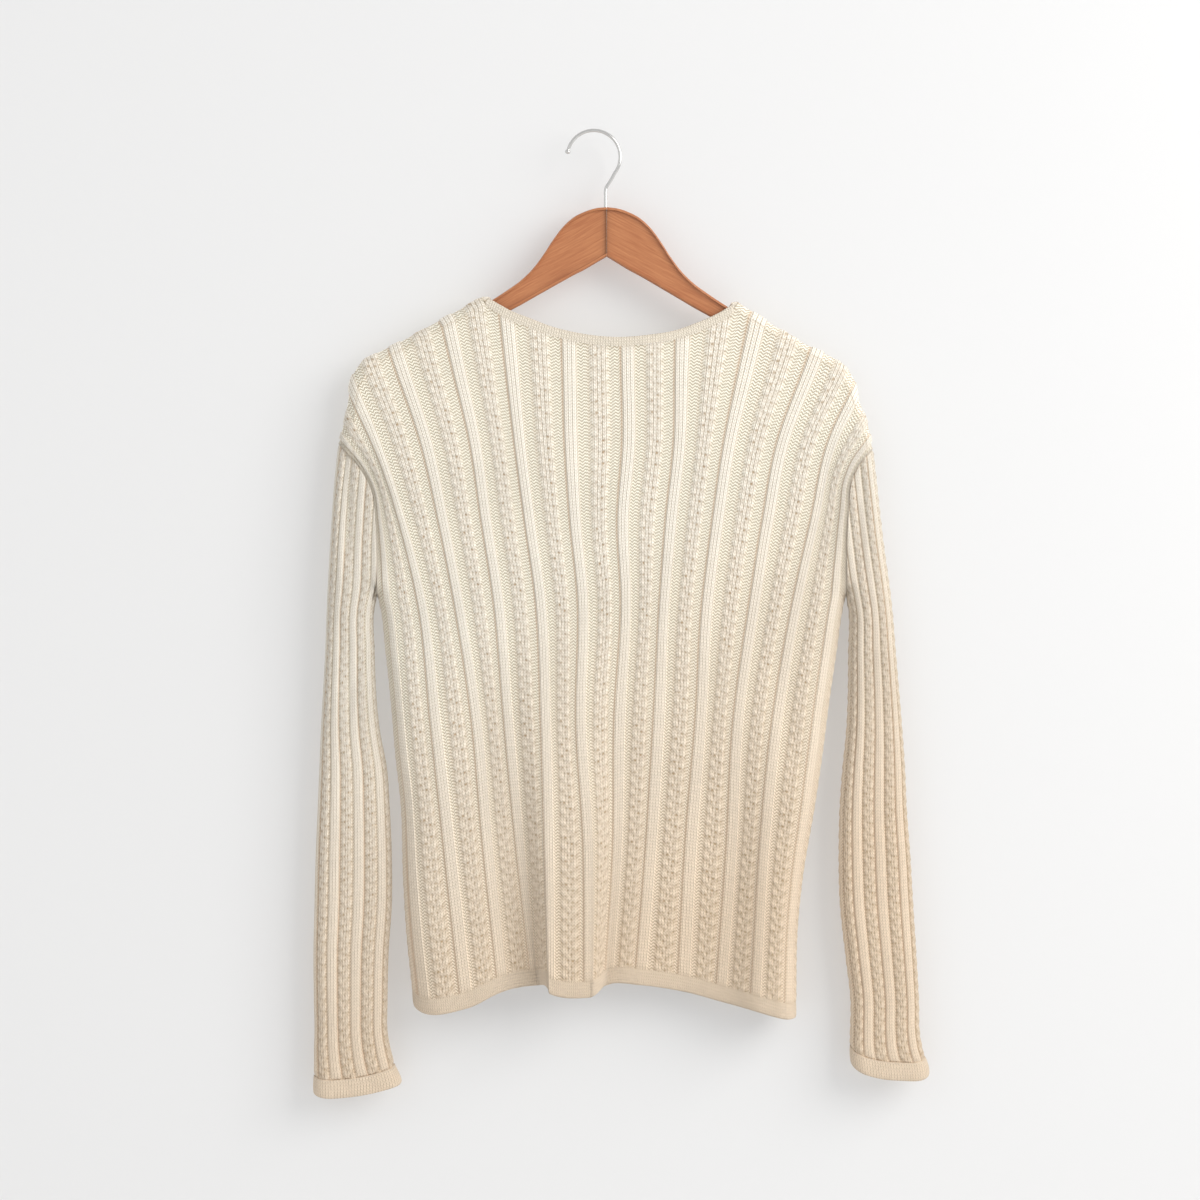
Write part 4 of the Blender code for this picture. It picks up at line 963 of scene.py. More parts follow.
def ridge_group() -> NodeTree:
    """Node group that draws a plait and the creases at a ridge's feet from a map across and along it.

    Strand k of three swings as 0.6 sin(p), with p a turn for three eyelets, and rises as sin(2p);
    the highest shows. Eyelets lie in two columns, where the strands part, and differ by chance.
    Outputs are the strands' height, the eyelets, and how close a point lies to a foot, more so at
    the left one, away from the light; the material paints eyelets and feet as shade.
    """
    g, given, made = new_group("ridges", (("Ridge", "Vector", 0),), ("High", "Eyelet", "Crease"))
    u, v = g.parts(given["Ridge"])[:2]
    high = 0.0
    for k in range(3):
        p = g.times(g.plus(v, float(k)), 2 * PI / 3)
        off = g.math("DIVIDE", g.minus(u, g.times(g.math("SINE", p), 0.6)), 0.4)
        near = g.math("SQRT", g.minus(1.0, g.times(off, off), clamp=True))
        rise = g.line(g.math("SINE", g.times(p, 2.0)), 0.28, 0.72)
        high = g.math("MAXIMUM", high, g.times(near, rise))
    holes = 0.0
    for side, start in ((1.0, 0.25), (-1.0, 0.75)):
        turn = g.plus(v, start + 100.0)
        off = g.math("DIVIDE", g.minus(u, 0.33 * side), 0.18)
        down = g.math("DIVIDE", g.minus(g.math("FRACT", turn), 0.5), 0.14)
        gap = g.plus(g.times(off, off), g.times(down, down))
        spot = g.feed(g.node("TexWhiteNoise", noise_dimensions="1D"), w=g.plus(g.math("FLOOR", turn), side * 7.3))
        deep = g.line(spot.outputs["Value"], 0.7, 0.25)
        holes = g.plus(holes, g.times(g.math("EXPONENT", g.times(gap, -1.0)), deep))
    creases = 0.0
    for side, weight, width in ((-1.0, 1.0, 0.12), (1.0, 0.15, 0.10)):
        off = g.math("DIVIDE", g.minus(u, 1.07 * side), width)
        bump = g.math("EXPONENT", g.times(g.times(off, off), -1.0))
        creases = g.plus(creases, g.times(bump, weight))
    g.feed(made, high=high, eyelet=holes, crease=creases)
    return g.tree


def fuzz_group() -> NodeTree:
    """Node group for the fibre of yarn: fine stretched noise, and a slow change of tone over the piece."""
    g, given, made = new_group("yarn_fuzz", (("Place", "Vector", 0), ("Size", "Float", 900.0)), ("Fibre", "Tone"))
    fine = g.noise(g.scaled(given["Place"], (1.0, 1.0, 0.55)), given["Size"], 4.0, 0.65)
    g.feed(made, fibre=fine, tone=g.noise(given["Place"], 14.0, 2.0))
    return g.tree


def grain_group() -> NodeTree:
    """Node group for sawn wood: long streaks along a map's first direction, and short dark pores."""
    g, given, made = new_group("wood_grain", (("Grain", "Vector", 0),), ("Streak", "Pore", "Figure"))
    slow = g.noise(g.scaled(given["Grain"], (0.010, 0.11, 1.0)), 1.0, 4.0, 0.6)
    bend = g.node("VectorMath", operation="ADD")
    g.join(g.scaled(given["Grain"], (0.02, 0.5, 1.0)), bend.inputs[0])
    g.join(g.feed(g.node("CombineXYZ"), y=g.times(slow, 5.0)).outputs[0], bend.inputs[1])
    pore = g.minus(g.noise(g.scaled(given["Grain"], (0.12, 2.6, 1.0)), 1.0, 2.0), 0.62, clamp=True)
    g.feed(made, streak=g.noise(bend.outputs[0], 1.3, 5.0, 0.6), pore=g.times(pore, 5.0, clamp=True), figure=slow)
    return g.tree


class Dyer:
    """Starts the materials and keeps the shared node groups."""

    def __init__(self) -> None:
        """Build each shared group once."""
        self.stitches, self.ridges, self.fuzz, self.grain = stitch_group(), ridge_group(), fuzz_group(), grain_group()

    def start(self, name: str, colour: Colour, roughness: float,
              **sockets: object) -> tuple[Material, Graph, Node]:
        """New material with its shader, and the shader's constant sockets set."""
        material = bpy.data.materials.new(name)
        material.use_nodes = True
        g, shader = Graph(material.node_tree), material.node_tree.nodes["Principled BSDF"]
        g.feed(shader, base_color=(*colour, 1), roughness=roughness, **sockets)
        material.diffuse_color = (*colour, 1)
        return material, g, shader


@dataclass(frozen=True)
class KnitFinish:
    """Soft cream yarn, knitted."""

    name: str
    light: Colour = (0.955, 0.905, 0.81)       # the yarn on ribs and strands
    furrow: Colour = (0.965, 0.92, 0.79)       # and in the purl furrows
    # painted shade: darker and warmer towards the hem and the right sleeve
    painted_shade: Colour = (0.87, 0.715, 0.555)       # towards the hem and the right sleeve
    # painted shade between the loops
    between: Colour = (0.40, 0.29, 0.165)      # between the loops
    # painted shade in eyelets and beside the strands
    deep: Colour = (0.40, 0.27, 0.145)         # in eyelets and beside the strands
    # painted shade at a ridge's feet, strongest on the left, away from the light
    crease: Colour = (0.66, 0.48, 0.33)        # at a ridge's feet
    stitch_relief: float = 0.0007
    # strength of that painted shade in the lines between wales and between purl rows
    contrast: float = 0.85     # of the lines between wales on ribs, and of those between purl rows
    purl_contrast: float = 0.78
    painted_shade_slopes: tuple[float, float, float] = (-2.6, 1.3, -1.03)    # up, to the right, and the start
    strand_relief: float = 1.3
    ridged: bool = True

    def make(self, dyer: Dyer) -> Material:
        """Material whose colour and relief follow the stitches, the ridges and the seams."""
        material, g, shader = dyer.start(self.name, self.light, 0.92, sheen_weight=0.28, sheen_roughness=0.45,
                                         sheen_tint=(1.0, 0.95, 0.88, 1.0), specular_ior_level=0.18)
        raised, hollow_shade, place = g.attribute("raised"), g.attribute("hollow_shade"), g.place()
        fuzz = g.group(dyer.fuzz, place=place)
        if self.ridged:
            ridges = g.group(dyer.ridges, ridge=g.map("ridge"))
            is_plait, high = g.attribute("plait"), ridges["High"]
            plait = g.times(is_plait, raised)
            raised = g.times(raised, g.blend(plait, 1.0, g.times(high, 3.0, clamp=True)))
            # eyelets: painted shade, and a dip in the bump
            eyelet = g.times(ridges["Eyelet"], plait)
            # painted shade in the gaps beside the strands
            low = g.times(g.minus(0.85, high, clamp=True), plait)
            # painted shade at the ridges' feet, weaker on plaits
            crease = g.times(ridges["Crease"], g.line(is_plait, -0.8, 1.0))
        stitches = g.group(dyer.stitches, stitch=g.map("stitch"), raised=raised)
        x, _, z = g.parts(place)
        # share of that painted shade, growing down the piece and to the right
        up, right, start = self.painted_shade_slopes
        painted_shade = g.line(z, up, g.line(x, right, start), clamp=True)
        base = g.mix(painted_shade, g.mix(raised, self.furrow, self.light), self.painted_shade)
        # painted shade between the loops
        lines = g.times(stitches["Between"], g.blend(raised, self.purl_contrast, self.contrast))
        height = g.line(fuzz["Fibre"], 0.25, stitches["Height"])
        base = g.mix(lines, base, self.between)
        shade = 0.0
        if self.ridged:
            # more of that painted shade where the painted shade towards the hem is stronger
            strong = g.line(painted_shade, 0.5, 0.78)
            shade = g.math("MAXIMUM", g.times(g.times(low, strong), 0.62), eyelet, clamp=True)
            height = g.line(g.times(g.times(high, plait), strong), self.strand_relief, height)
            height = g.minus(height, eyelet)
            # painted crease shade
            base = g.mix(g.times(crease, 0.75, clamp=True), base, self.crease)
        # painted shade where the cloth sinks in at seams and rolled edges
        shade = g.math("MAXIMUM", shade, g.times(hollow_shade, 0.75), clamp=True)
        tone = g.line(fuzz["Tone"], 0.10, 0.95)
        tone = g.times(tone, g.line(stitches["Chance"], 0.06, 0.97))
        tone = g.times(tone, g.line(fuzz["Fibre"], 0.12, 0.94))
        toned = g.node("VectorMath", operation="SCALE")
        g.join(g.mix(shade, base, self.deep), toned.inputs[0])
        g.join(tone, toned.inputs["Scale"])
        g.feed(shader, base_color=toned.outputs[0], roughness=g.line(fuzz["Fibre"], 0.12, 0.84))
        g.bump(shader, g.minus(height, g.times(hollow_shade, 0.5)), self.stitch_relief, 1.0)
        return material


@dataclass(frozen=True)
class WoodFinish:
    """Varnished reddish-brown hardwood."""

    name: str = "varnished_wood"
    light: Colour = (0.51, 0.205, 0.078)
    dark: Colour = (0.385, 0.13, 0.044)
    pore: Colour = (0.25, 0.09, 0.04)

    def make(self, dyer: Dyer) -> Material:
        """Material with streaks and pores along the arm under a thin varnish."""
        material, g, shader = dyer.start(self.name, self.light, 0.42, coat_weight=0.25, coat_roughness=0.3)
        grain = g.group(dyer.grain, grain=g.map("grain"))
        streak = g.times(g.minus(grain["Streak"], 0.38, clamp=True), 3.2, clamp=True)
        colour = g.mix(g.times(grain["Pore"], 0.45), g.mix(streak, self.dark, self.light), self.pore)
        g.feed(shader, base_color=colour, roughness=g.line(grain["Figure"], 0.2, 0.34))
        g.bump(shader, grain["Pore"], 0.0002, 0.25, invert=True)
        return material


@dataclass(frozen=True)
class WireFinish:
    """Plated steel wire, bright, with faint rubbed marks."""

    name: str = "plated_wire"
    colour: Colour = (0.66, 0.65, 0.63)
    rubbed: float = 0.9        # share of the colour where it is dullest

    def make(self, dyer: Dyer) -> Material:
        """Metal material with a little unevenness in its gloss."""
        material, g, shader = dyer.start(self.name, self.colour, 0.2, metallic=0.9)
        place = g.place()
        dull = tuple(c * self.rubbed for c in self.colour)
        g.feed(shader, base_color=g.mix(g.noise(place, 60.0), dull, self.colour),
               roughness=g.line(g.noise(place, 420.0, 4.0, 0.6), 0.18, 0.07))
        return material


@dataclass(frozen=True)
class ButtonFinish:
    """Cast cream button with a faint horn-like cloud."""

    name: str = "cream_button"
    light: Colour = (0.80, 0.74, 0.62)
    dark: Colour = (0.66, 0.57, 0.43)

    def make(self, dyer: Dyer) -> Material:
        """Glossy material with slow clouds of tone."""
        material, g, shader = dyer.start(self.name, self.light, 0.3, coat_weight=0.3, coat_roughness=0.15)
        place = g.place()
        cloud = g.noise(g.scaled(place, (1.0, 1.0, 2.2)), 130.0, 4.0, 0.6)
        g.feed(shader, base_color=g.mix(cloud, self.dark, self.light),
               roughness=g.line(g.noise(place, 900.0), 0.15, 0.22))
        return material


@dataclass(frozen=True)
class WallFinish:
    """Matt white paint, seen from its front only."""

    name: str
    colour: Colour = (0.50, 0.498, 0.496)
    uneven: float = 0.985      # share of the colour where it is darkest
    glow: float = 0.285    # keeps the shadows on it faint
    one_sided: bool = True

    def make(self, dyer: Dyer) -> Material:
        """Matt material that is clear from behind if it is one-sided."""
        material, g, shader = dyer.start(self.name, self.colour, 0.9, specular_ior_level=0.1,
                                         emission_color=(1.0, 0.995, 0.99, 1.0), emission_strength=self.glow)
        dark = tuple(c * self.uneven for c in self.colour)
        g.feed(shader, base_color=g.mix(g.noise(g.place(), 1.5, 2.0), dark, self.colour))
        if self.one_sided:
            choose = g.node("MixShader")
            for n, value in enumerate((g.node("NewGeometry").outputs["Backfacing"], shader.outputs[0],
                                       g.node("BsdfTransparent").outputs[0])):
                g.join(value, choose.inputs[n])
            g.join(choose.outputs[0], material.node_tree.nodes["Material Output"].inputs[0])
        return material


# ---------------------------------------------------------------- pieces of the cardigan


@dataclass
class Cloth:
    """What every knitted piece shares: the form, its finishes and how it is seated."""

    form: Form
    rib_knit: Material
    band_knit: Material

    def keep(self, obj: Object, node: str, slot: str, flat: tuple[float, float], area: float,
             rests_on: list[str]) -> None:
        """Seat a piece in the frame in place of a solid.

        Args:
            obj: the piece.
            node: the solid that it stands for, or more than one with spaces between.
            slot: material slot of the record; not used.
            flat: width and length of the flat cut, in metres; not used.
            area: area of the flat cut, in square metres; not used.
            rests_on: what it hangs from; not used.
        """
        seat(obj, slot, *node.split())


def crease_push(x: Array, z: Array, creases: tuple[Crease, ...]) -> Array:
    """Depth of soft troughs: a bell across each crease, fading towards its two ends."""
    push = np.zeros(x.shape)
    for c in creases:
        run = np.array([c.x1 - c.x0, c.z1 - c.z0])
        t = ((x - c.x0) * run[0] + (z - c.z0) * run[1]) / (run @ run)
        off = np.hypot(x - c.x0 - t * run[0], z - c.z0 - t * run[1])
        push += c.depth * bell(off, c.width) * ease(t / 0.3) * ease((1 - t) / 0.3)
    return push


BACK_CREASES = (
    Crease(-214, -330, -196, -420, 7, 1.6),
    Crease(226, -318, 200, -420, 8, 1.8),
    Crease(238, -330, 222, -430, 5, 1.4),
    Crease(-150, -470, -172, -640, 12, 1.2),
    Crease(160, -460, 190, -620, 12, 1.3),
)


@dataclass
class Panels(Cloth):
    """Back, fronts and their hem bands."""

    waist: float = -520.0
    lower_rows: int = 128
    upper_rows: int = 150
    hem_band: float = 15.0
    front_band: float = 28.0
    neck_places: tuple[float, float] = (4.67, 8.67)      # of the columns at the neck's corners
    centre_places: tuple[float, float] = (6.25, 6.75)
    neck_reach: float = 1.7    # how many repeats away a column still leans to such a corner
    lean_bottom: float = -420.0    # heights between which the lean grows
    lean_top: float = -180.0
    edge_reach: float = 2.5    # the same for the fronts' centre edges
    wrap_fade: float = 14.0    # of the ribs where the fronts come over the shoulders
    neck_seam: float = 8.3     # from the neck's opening to the panels' seam, and to the neck band's
    neck_band: float = 8.1
    ceiling: float = -100.0    # above all of the cloth
    off_side: float = 50.0     # keeps columns from the far side's armhole
    side_pull: float = 2.2     # how far a seam flattens the ribs at armholes and hem, and at the top
    top_pull: float = 3.0
    stretch: float = 1.4       # of the hem bands' wales
    neck_wall: float = 2.2     # thickness of the neck band and of the front bands
    front_wall: float = 2.6
    neck_wale: float = 2.4     # width of a wale of the neck band and of the front bands
    front_wale: float = 2.0
    neck_rows: float = 3.2     # rows in the neck band's height
    top_steps: tuple[float, ...] = (14, 11.5, 9, 7, 5.4, 4, 2.8, 1.8, 1.0, 0.45, 0.12, 0)
    wrap_steps: tuple[float, ...] = (0.06, 0.16, 0.32, 0.55, 0.78, 1.0)

    def hem_height(self, places: Array, side: Side) -> Array:
        """Lower edge of the back or fronts at each place across."""
        return look_up(places, self.form.cut.hem, 1 if side is Side.BACK else 2)

    def back_top_line(self) -> Array:
        """Top of the back: left shoulder seam, neck seam, right shoulder seam."""
        cut = self.form.cut
        left = smooth_line([row[2:] for row in cut.shoulders[0]])
        right = smooth_line([row[2:] for row in cut.shoulders[1]])[::-1]
        neck = beside(smooth_line(cut.back_neck, 4), self.neck_seam)
        neck = neck[(neck[:, 0] > left[-1, 0] + 1) & (neck[:, 0] < right[0, 0] - 1)]
        return np.vstack([left, neck, right])

    def neck_fade(self, places: Array, z: Array, place: float) -> Array:
        """Share of a neck corner's sideways shift that each column takes."""
        up = ease((z - self.lean_bottom) / (self.lean_top - self.lean_bottom))
        return up * np.clip(1 - np.abs(places - place) / self.neck_reach, 0, 1)

    def meet(self, x_at: Reading, line: Array, count: int) -> Array:
        """Height at which each of a number of columns meets a line above the waist."""
        xs, zs = line[np.argsort(line[:, 0])].T
        return halve(lambda z: z < np.interp(x_at(z), xs, zs, left=-1000, right=-1000),
                     np.full(count, self.waist), np.full(count, self.ceiling))

    def back_x(self, places: Array, z: Array) -> Array:
        """x of the back's columns, two of which are brought to the corners of the neck."""
        x = self.form.body_x(places, z)
        for place, shoulder in zip(self.neck_places, self.form.cut.shoulders):
            corner = shoulder[-1][2:]
            x = x + (corner[0] - self.form.body_x(place, corner[1])) * self.neck_fade(places, z, place)
        return x

    def back_top(self, places: Array) -> Array:
        """Height at which each column of the back meets its top line."""
        return self.meet(lambda z: self.back_x(places, z), self.back_top_line(), len(places))

    def heights(self, places: Array, side: Side, top: Array) -> Array:
        """Heights of a panel's rows: level below the waist, spread above it, close at the top."""
        bottom = self.hem_height(places, side) + self.hem_band
        lower = bottom[:, None] + np.linspace(0, 1, self.lower_rows + 1)[:-1] * (self.waist - bottom)[:, None]
        high = top - self.top_steps[0]
        upper = self.waist + np.linspace(0, 1, self.upper_rows)[:-1] * (high - self.waist)[:, None]
        return np.hstack([lower, upper, top[:, None] - np.array(self.top_steps)])

    def on_seam(self, places: Array, z: Array) -> Array:
        """Marks the points on a side seam below the armpit."""
        first, last = self.form.cut.seams
        return ((places <= first) | (places >= last))[:, None] & self.form.below_armpit(z)

    def wall(self, places: Array, marks: list[int], x: Array, z: Array, side: Side, on_edge: Array,
             top: Array | None = None, facing: Array | None = None, creases: tuple[Crease, ...] = ()) -> Wall:
        """Wall of a ribbed panel, or of its smooth band where no top is given.

        Args:
            places: places of the columns, in repeats.
            marks: columns that the plain inside shares.
            x: place across of each point.
            z: its height.
            side: side of the garment.
            on_edge: marks the points on a folded edge.
            top: height of each column's seam above.
            facing: side of each row, where the panel goes round to the other one.
            creases: troughs in the panel.

        Returns:
            The wall, with the marks for the material.
        """
        form, rib = self.form, RIBBING
        repeat = np.broadcast_to(places[:, None], z.shape)
        folds = BACK_FOLDS if side is Side.BACK else FRONT_FOLDS
        points, normals = form.surface(x, z, side.value if facing is None else facing, "body",
                                       form.fold_pair(repeat, z, folds), on_edge)
        along = z - self.hem_height(places, side)[:, None]
        wales, courses = repeat * rib.repeat_wales, along / rib.row
        if top is None:
            lift, full = rib.band_section(along / self.hem_band)
            # the band's rolled lower edge gets painted shade
            return Wall(points, normals, lift, rib.rise + (rib.wall - rib.band_sink), marks, every(3, z.shape[1]),
                        wales * self.stretch, courses, hollow_shade=0.2 * (1 - full), first=2)
        relief, raised = rib.panel_relief(repeat, along)
        armhole = np.minimum(np.abs(x - form.side_edge(z, Hand.LEFT)) + self.off_side * (repeat > 3),
                             np.abs(x - form.side_edge(z, Hand.RIGHT)) + self.off_side * (repeat < 10))
        under = np.maximum(top[:, None] - z, 0)
        seam = np.maximum(np.where(z > form.cut.armpit, bell(armhole, self.side_pull), 0), bell(under, self.top_pull))
        seam = np.maximum(seam, 0.7 * bell(along - self.hem_band, self.side_pull))
        fade = np.maximum(seam, bell(under, self.wrap_fade)) if side is Side.FRONT else seam
        lift = relief * (1 - 0.85 * fade) - rib.furrow + 0.6 * fade - crease_push(x, z, creases)
        ridges = np.arange(2, 26)
        # the dips at seams get painted shade
        return Wall(points, normals, lift, rib.rise + rib.wall, marks, every(4, z.shape[1]), wales, courses, raised,
                    0.25 * seam, ridges * rib.repeat_wales / 2, ridges % 2 == 1, self.ridge_foot(repeat, along),
                    first=2)

    @staticmethod
    def ridge_foot(repeat: Array, along: Array) -> Array:
        """Half width of the ridge that each point belongs to, in wales."""
        narrow, wide = RIBBING.feet(along)
        return RIBBING.repeat_wales * np.where(np.rint(2 * repeat) % 2 == 0, narrow, wide)

    def make_back(self) -> None:
        """Back panel and its hem band."""
        places, marks = RIBBING.panel_places(*self.form.cut.seams)
        for place in self.neck_places:
            places[int(np.argmin(np.abs(places - place)))] = place
        top = self.back_top(places)
        z = self.heights(places, Side.BACK, top)
        x = self.back_x(places[:, None], z)
        wall = self.wall(places, marks, x, z, Side.BACK, self.on_seam(places, z), top, creases=BACK_CREASES)
        self.keep(wall.build("Back_panel", self.rib_knit), "back", "cream_rib_knit", (0.52, 0.66), 0.30,
                  ["hanger_left", "hanger_right"])
        self.make_hem("Back_panel", places, marks, lambda z: self.back_x(places[:, None], z), Side.BACK, (0.46, 0.017))

    def make_hem(self, panel: str, places: Array, marks: list[int], x_at: Reading, side: Side,
                 flat: tuple[float, float]) -> None:
        """Smooth band below a panel, on the panel's own columns."""
        name = panel.replace("_panel", "_hem_band")
        z = RIBBING.band_heights(self.hem_height(places, side), self.hem_band)
        wall = self.wall(places, marks, x_at(z), z, side, self.on_seam(places, z))
        self.keep(wall.build(name, self.band_knit), name.lower(), "cream_band_knit", flat, flat[0] * flat[1], [panel])

    def make_front(self, hand: Hand) -> None:
        """One front with its hem band.

        The front wraps over the shoulder to the seam behind it, and its neck is scooped. Its
        columns lean a little to meet the neck's corner and the straight centre edge.
        """
        cut, form = self.form.cut, self.form
        right = hand is Hand.RIGHT
        inward = 1 if right else -1
        outer = smooth_line(cut.shoulders[hand.value])[:, :2]
        edge_x = cut.centre_front + inward * (self.front_band / 2 + 0.1)
        edge_place, neck_place = self.centre_places[hand.value], self.neck_places[hand.value]
        places, marks = RIBBING.panel_places(*((edge_place, cut.seams[1]) if right else (cut.seams[0], edge_place)))
        corner = int(np.argmin(np.abs(places - neck_place)))
        places[corner] = neck_place
        over = inward * places >= inward * neck_place
        marks = sorted({*marks, corner})
        by_edge = np.clip(1 - np.abs(places - edge_place) / self.edge_reach, 0, 1)[:, None]

        def to_edge(z: Array) -> Array:
            """x of the columns with the innermost one on the centre edge."""
            return form.body_x(places[:, None], z) + by_edge * (edge_x - form.body_x(edge_place, z))

        lean = outer[-1, 0] - to_edge(np.full((len(places), 1), outer[-1, 1]))[corner, 0]

        def x_at(z: Array) -> Array:
            """The same with one column leaning to the neck's corner."""
            return to_edge(z) + lean * self.neck_fade(places[:, None], z, neck_place)

        across = np.linspace(0, 1, 61)[::-1] if right else np.linspace(-1, 0, 61)
        neck = self.scoop(across, seam=True)[1:]
        line = np.vstack([outer, neck, neck[-1] - [80 * inward, 0]])
        top = self.meet(lambda z: x_at(z[:, None])[:, 0], line, len(places))
        top[corner] = outer[-1, 1]
        z = self.heights(places, Side.FRONT, top)
        x = x_at(z)
        rim = z.shape[1] - 1
        seam_z = self.back_top(places)
        seam_x = self.back_x(places, seam_z)
        steps = np.array(self.wrap_steps)
        x = np.hstack([x, x[:, rim:] + (seam_x[:, None] - x[:, rim:]) * steps])
        z = np.hstack([z, z[:, rim:] + (seam_z[:, None] - z[:, rim:]) * steps])
        on_edge = self.on_seam(places, z)
        on_edge[:, rim] = over
        facing = np.where(np.arange(z.shape[1]) > rim, Side.BACK.value, Side.FRONT.value)
        wall = self.wall(places, marks, x, z, Side.FRONT, on_edge, np.where(over, 1e3, top), facing)
        wall.row_marks = sorted({*[m for m in wall.row_marks if m < rim], rim, rim + 3, z.shape[1] - 1})
        wall.cells = np.ones((len(marks) - 1, len(wall.row_marks) - 1), bool)
        wall.cells[~(over[marks[:-1]] & over[marks[1:]]), wall.row_marks.index(rim):] = False
        name = hand.word.title() + "_front_panel"
        self.keep(wall.build(name, self.rib_knit), hand.word + "_front", "cream_rib_knit", (0.26, 0.67), 0.14,
                  ["hanger_" + hand.word])
        self.make_hem(name, places, marks, x_at, Side.FRONT, (0.20, 0.017))

    def scoop(self, across: Array, seam: bool) -> Array:
        """Front neck line at places from -1 to 1: low point plus a power of the distance from the middle."""
        cut = self.form.cut
        left, right, low = cut.neck_corners[0], cut.neck_corners[1], cut.front_neck_low
        if seam:
            left, right, low = cut.shoulders[0][-1][:2], cut.shoulders[1][-1][:2], low - self.neck_seam
        x, top = (left[n] + (right[n] - left[n]) * (across + 1) / 2 for n in (0, 1))
        return np.stack([x, low + (top - low) * np.abs(across) ** cut.scoop], -1)

    def make_neck_band(self) -> None:
        """Narrow band round the neck, from the centre front over a shoulder and back down."""
        cut, form = self.form.cut, self.form
        across, count = np.linspace(0, 1, 90)[:-1], 150

        def flank(sign: int) -> Array:
            """Opening and seam of one half of the front's neck, from its centre outwards."""
            edge = cut.centre_front + sign * (self.front_band / 2 + 0.1)
            low, high = (edge, np.inf) if sign > 0 else (-np.inf, edge)
            return np.hstack([np.clip(self.scoop(sign * across, seam), (low, -np.inf), (high, np.inf))
                              for seam in (False, True)])

        ends = [(*cut.neck_corners[n], cut.shoulders[n][-1][0] + inward, cut.shoulders[n][-1][1])
                for n, inward in enumerate((0.4, -0.4))]
        opening = smooth_line(cut.back_neck, 12)
        seam = beside(opening, self.neck_band)
        seam = seam[(seam[:, 0] > cut.shoulders[0][-1][2] + 0.6) & (seam[:, 0] < cut.shoulders[1][-1][2] - 0.6)]
        behind = np.hstack([spread(opening, count), spread(seam, count)])
        path = np.vstack([flank(-1), ends[:1], behind, ends[1:], flank(1)[::-1]])
        place = np.arange(len(path)) - len(across)
        facing = np.where((place > 0) & (place <= count), Side.BACK.value, Side.FRONT.value)[:, None]
        steps = np.array([0, 0.04, 0.12, 0.28, 0.5, 0.72, 0.88, 0.96, 1.0])
        x = path[:, :1] + (path[:, 2:3] - path[:, :1]) * steps
        z = path[:, 1:2] + (path[:, 3:] - path[:, 1:2]) * steps
        points, normals = form.surface(x, z, facing, "shoulders", None, np.isin(place, (0, count + 1))[:, None])
        full = np.sqrt(np.clip(1 - np.abs(1 - steps) ** 4, 0, 1))
        lift = -RIBBING.band_sink - 1.0 * (1 - full) + 0.3 - 0.5 * steps
        far = np.append(0, np.cumsum(np.hypot(*np.diff(path[:, :2], axis=0).T)))
        # the band's rolled edge gets painted shade
        wall = Wall(points, normals, np.broadcast_to(lift, x.shape), self.neck_wall, list(range(len(path))), [0, 4, 8],
                    far[:, None] / self.neck_wale, steps * self.neck_rows, hollow_shade=0.3 * (1 - full))
        self.keep(wall.build("Neck_band", self.band_knit), "neckband", "cream_band_knit", (0.54, 0.0115), 0.0049,
                  ["Back_panel"])

    def make_front_bands(self) -> None:
        """Over and under bands down the centre front: flat strips with rolled edges, one on the other."""
        cut, form = self.form.cut, self.form
        top, bottom = cut.front_neck_low, float(look_up(CENTRE_REPEAT + 0.1, cut.hem, 2))
        t = np.sin(np.linspace(-PI / 2, PI / 2, 29))
        full = np.sqrt(np.clip(1 - np.abs(t) ** 8, 0, 1))
        z = np.broadcast_to(np.linspace(bottom, top, 260), (len(t), 260))
        folds = form.fold_depth(CENTRE_REPEAT, z, FRONT_FOLDS)
        for name, lift, reach in (("Over_front_band", RIBBING.band_lift, 0.0),
                                  ("Under_front_band", -RIBBING.band_lift, 1.5)):
            off = t * (self.front_band - reach) / 2 - reach / 2
            points, normals = form.surface((cut.centre_front + off)[:, None], z, Side.FRONT.value, "body",
                                           (folds, 0 * folds))
            ribs = 0.16 * np.cos(PI * off / self.front_wale) * full
            sunk = lift - RIBBING.band_sink
            # the band's rolled edges get painted shade
            wall = Wall(points, normals, np.broadcast_to((sunk - 1.0 * (1 - full) + ribs)[:, None], z.shape),
                        self.front_wall - sunk, [0, 7, 14, 21, 28], every(8, 260), off[:, None] / self.front_wale,
                        (z - bottom) / RIBBING.row, hollow_shade=0.3 * (1 - full)[:, None])
            self.keep(wall.build(name, self.band_knit), name.lower(), "cream_band_knit", (0.03, 0.57), 0.017,
                      ["Left_front_panel", "Right_front_panel"])


SLEEVE_CREASES = {
    Hand.LEFT: (Crease(-231, -262, -229, -420, 5.5, 3.2), Crease(-238, -430, -226, -560, 7, 1.3),
                Crease(-212, -470, -232, -540, 6, 1.2)),
    Hand.RIGHT: (Crease(246, -300, 240, -420, 6, 1.8), Crease(262, -420, 250, -520, 8, 1.2)),
}


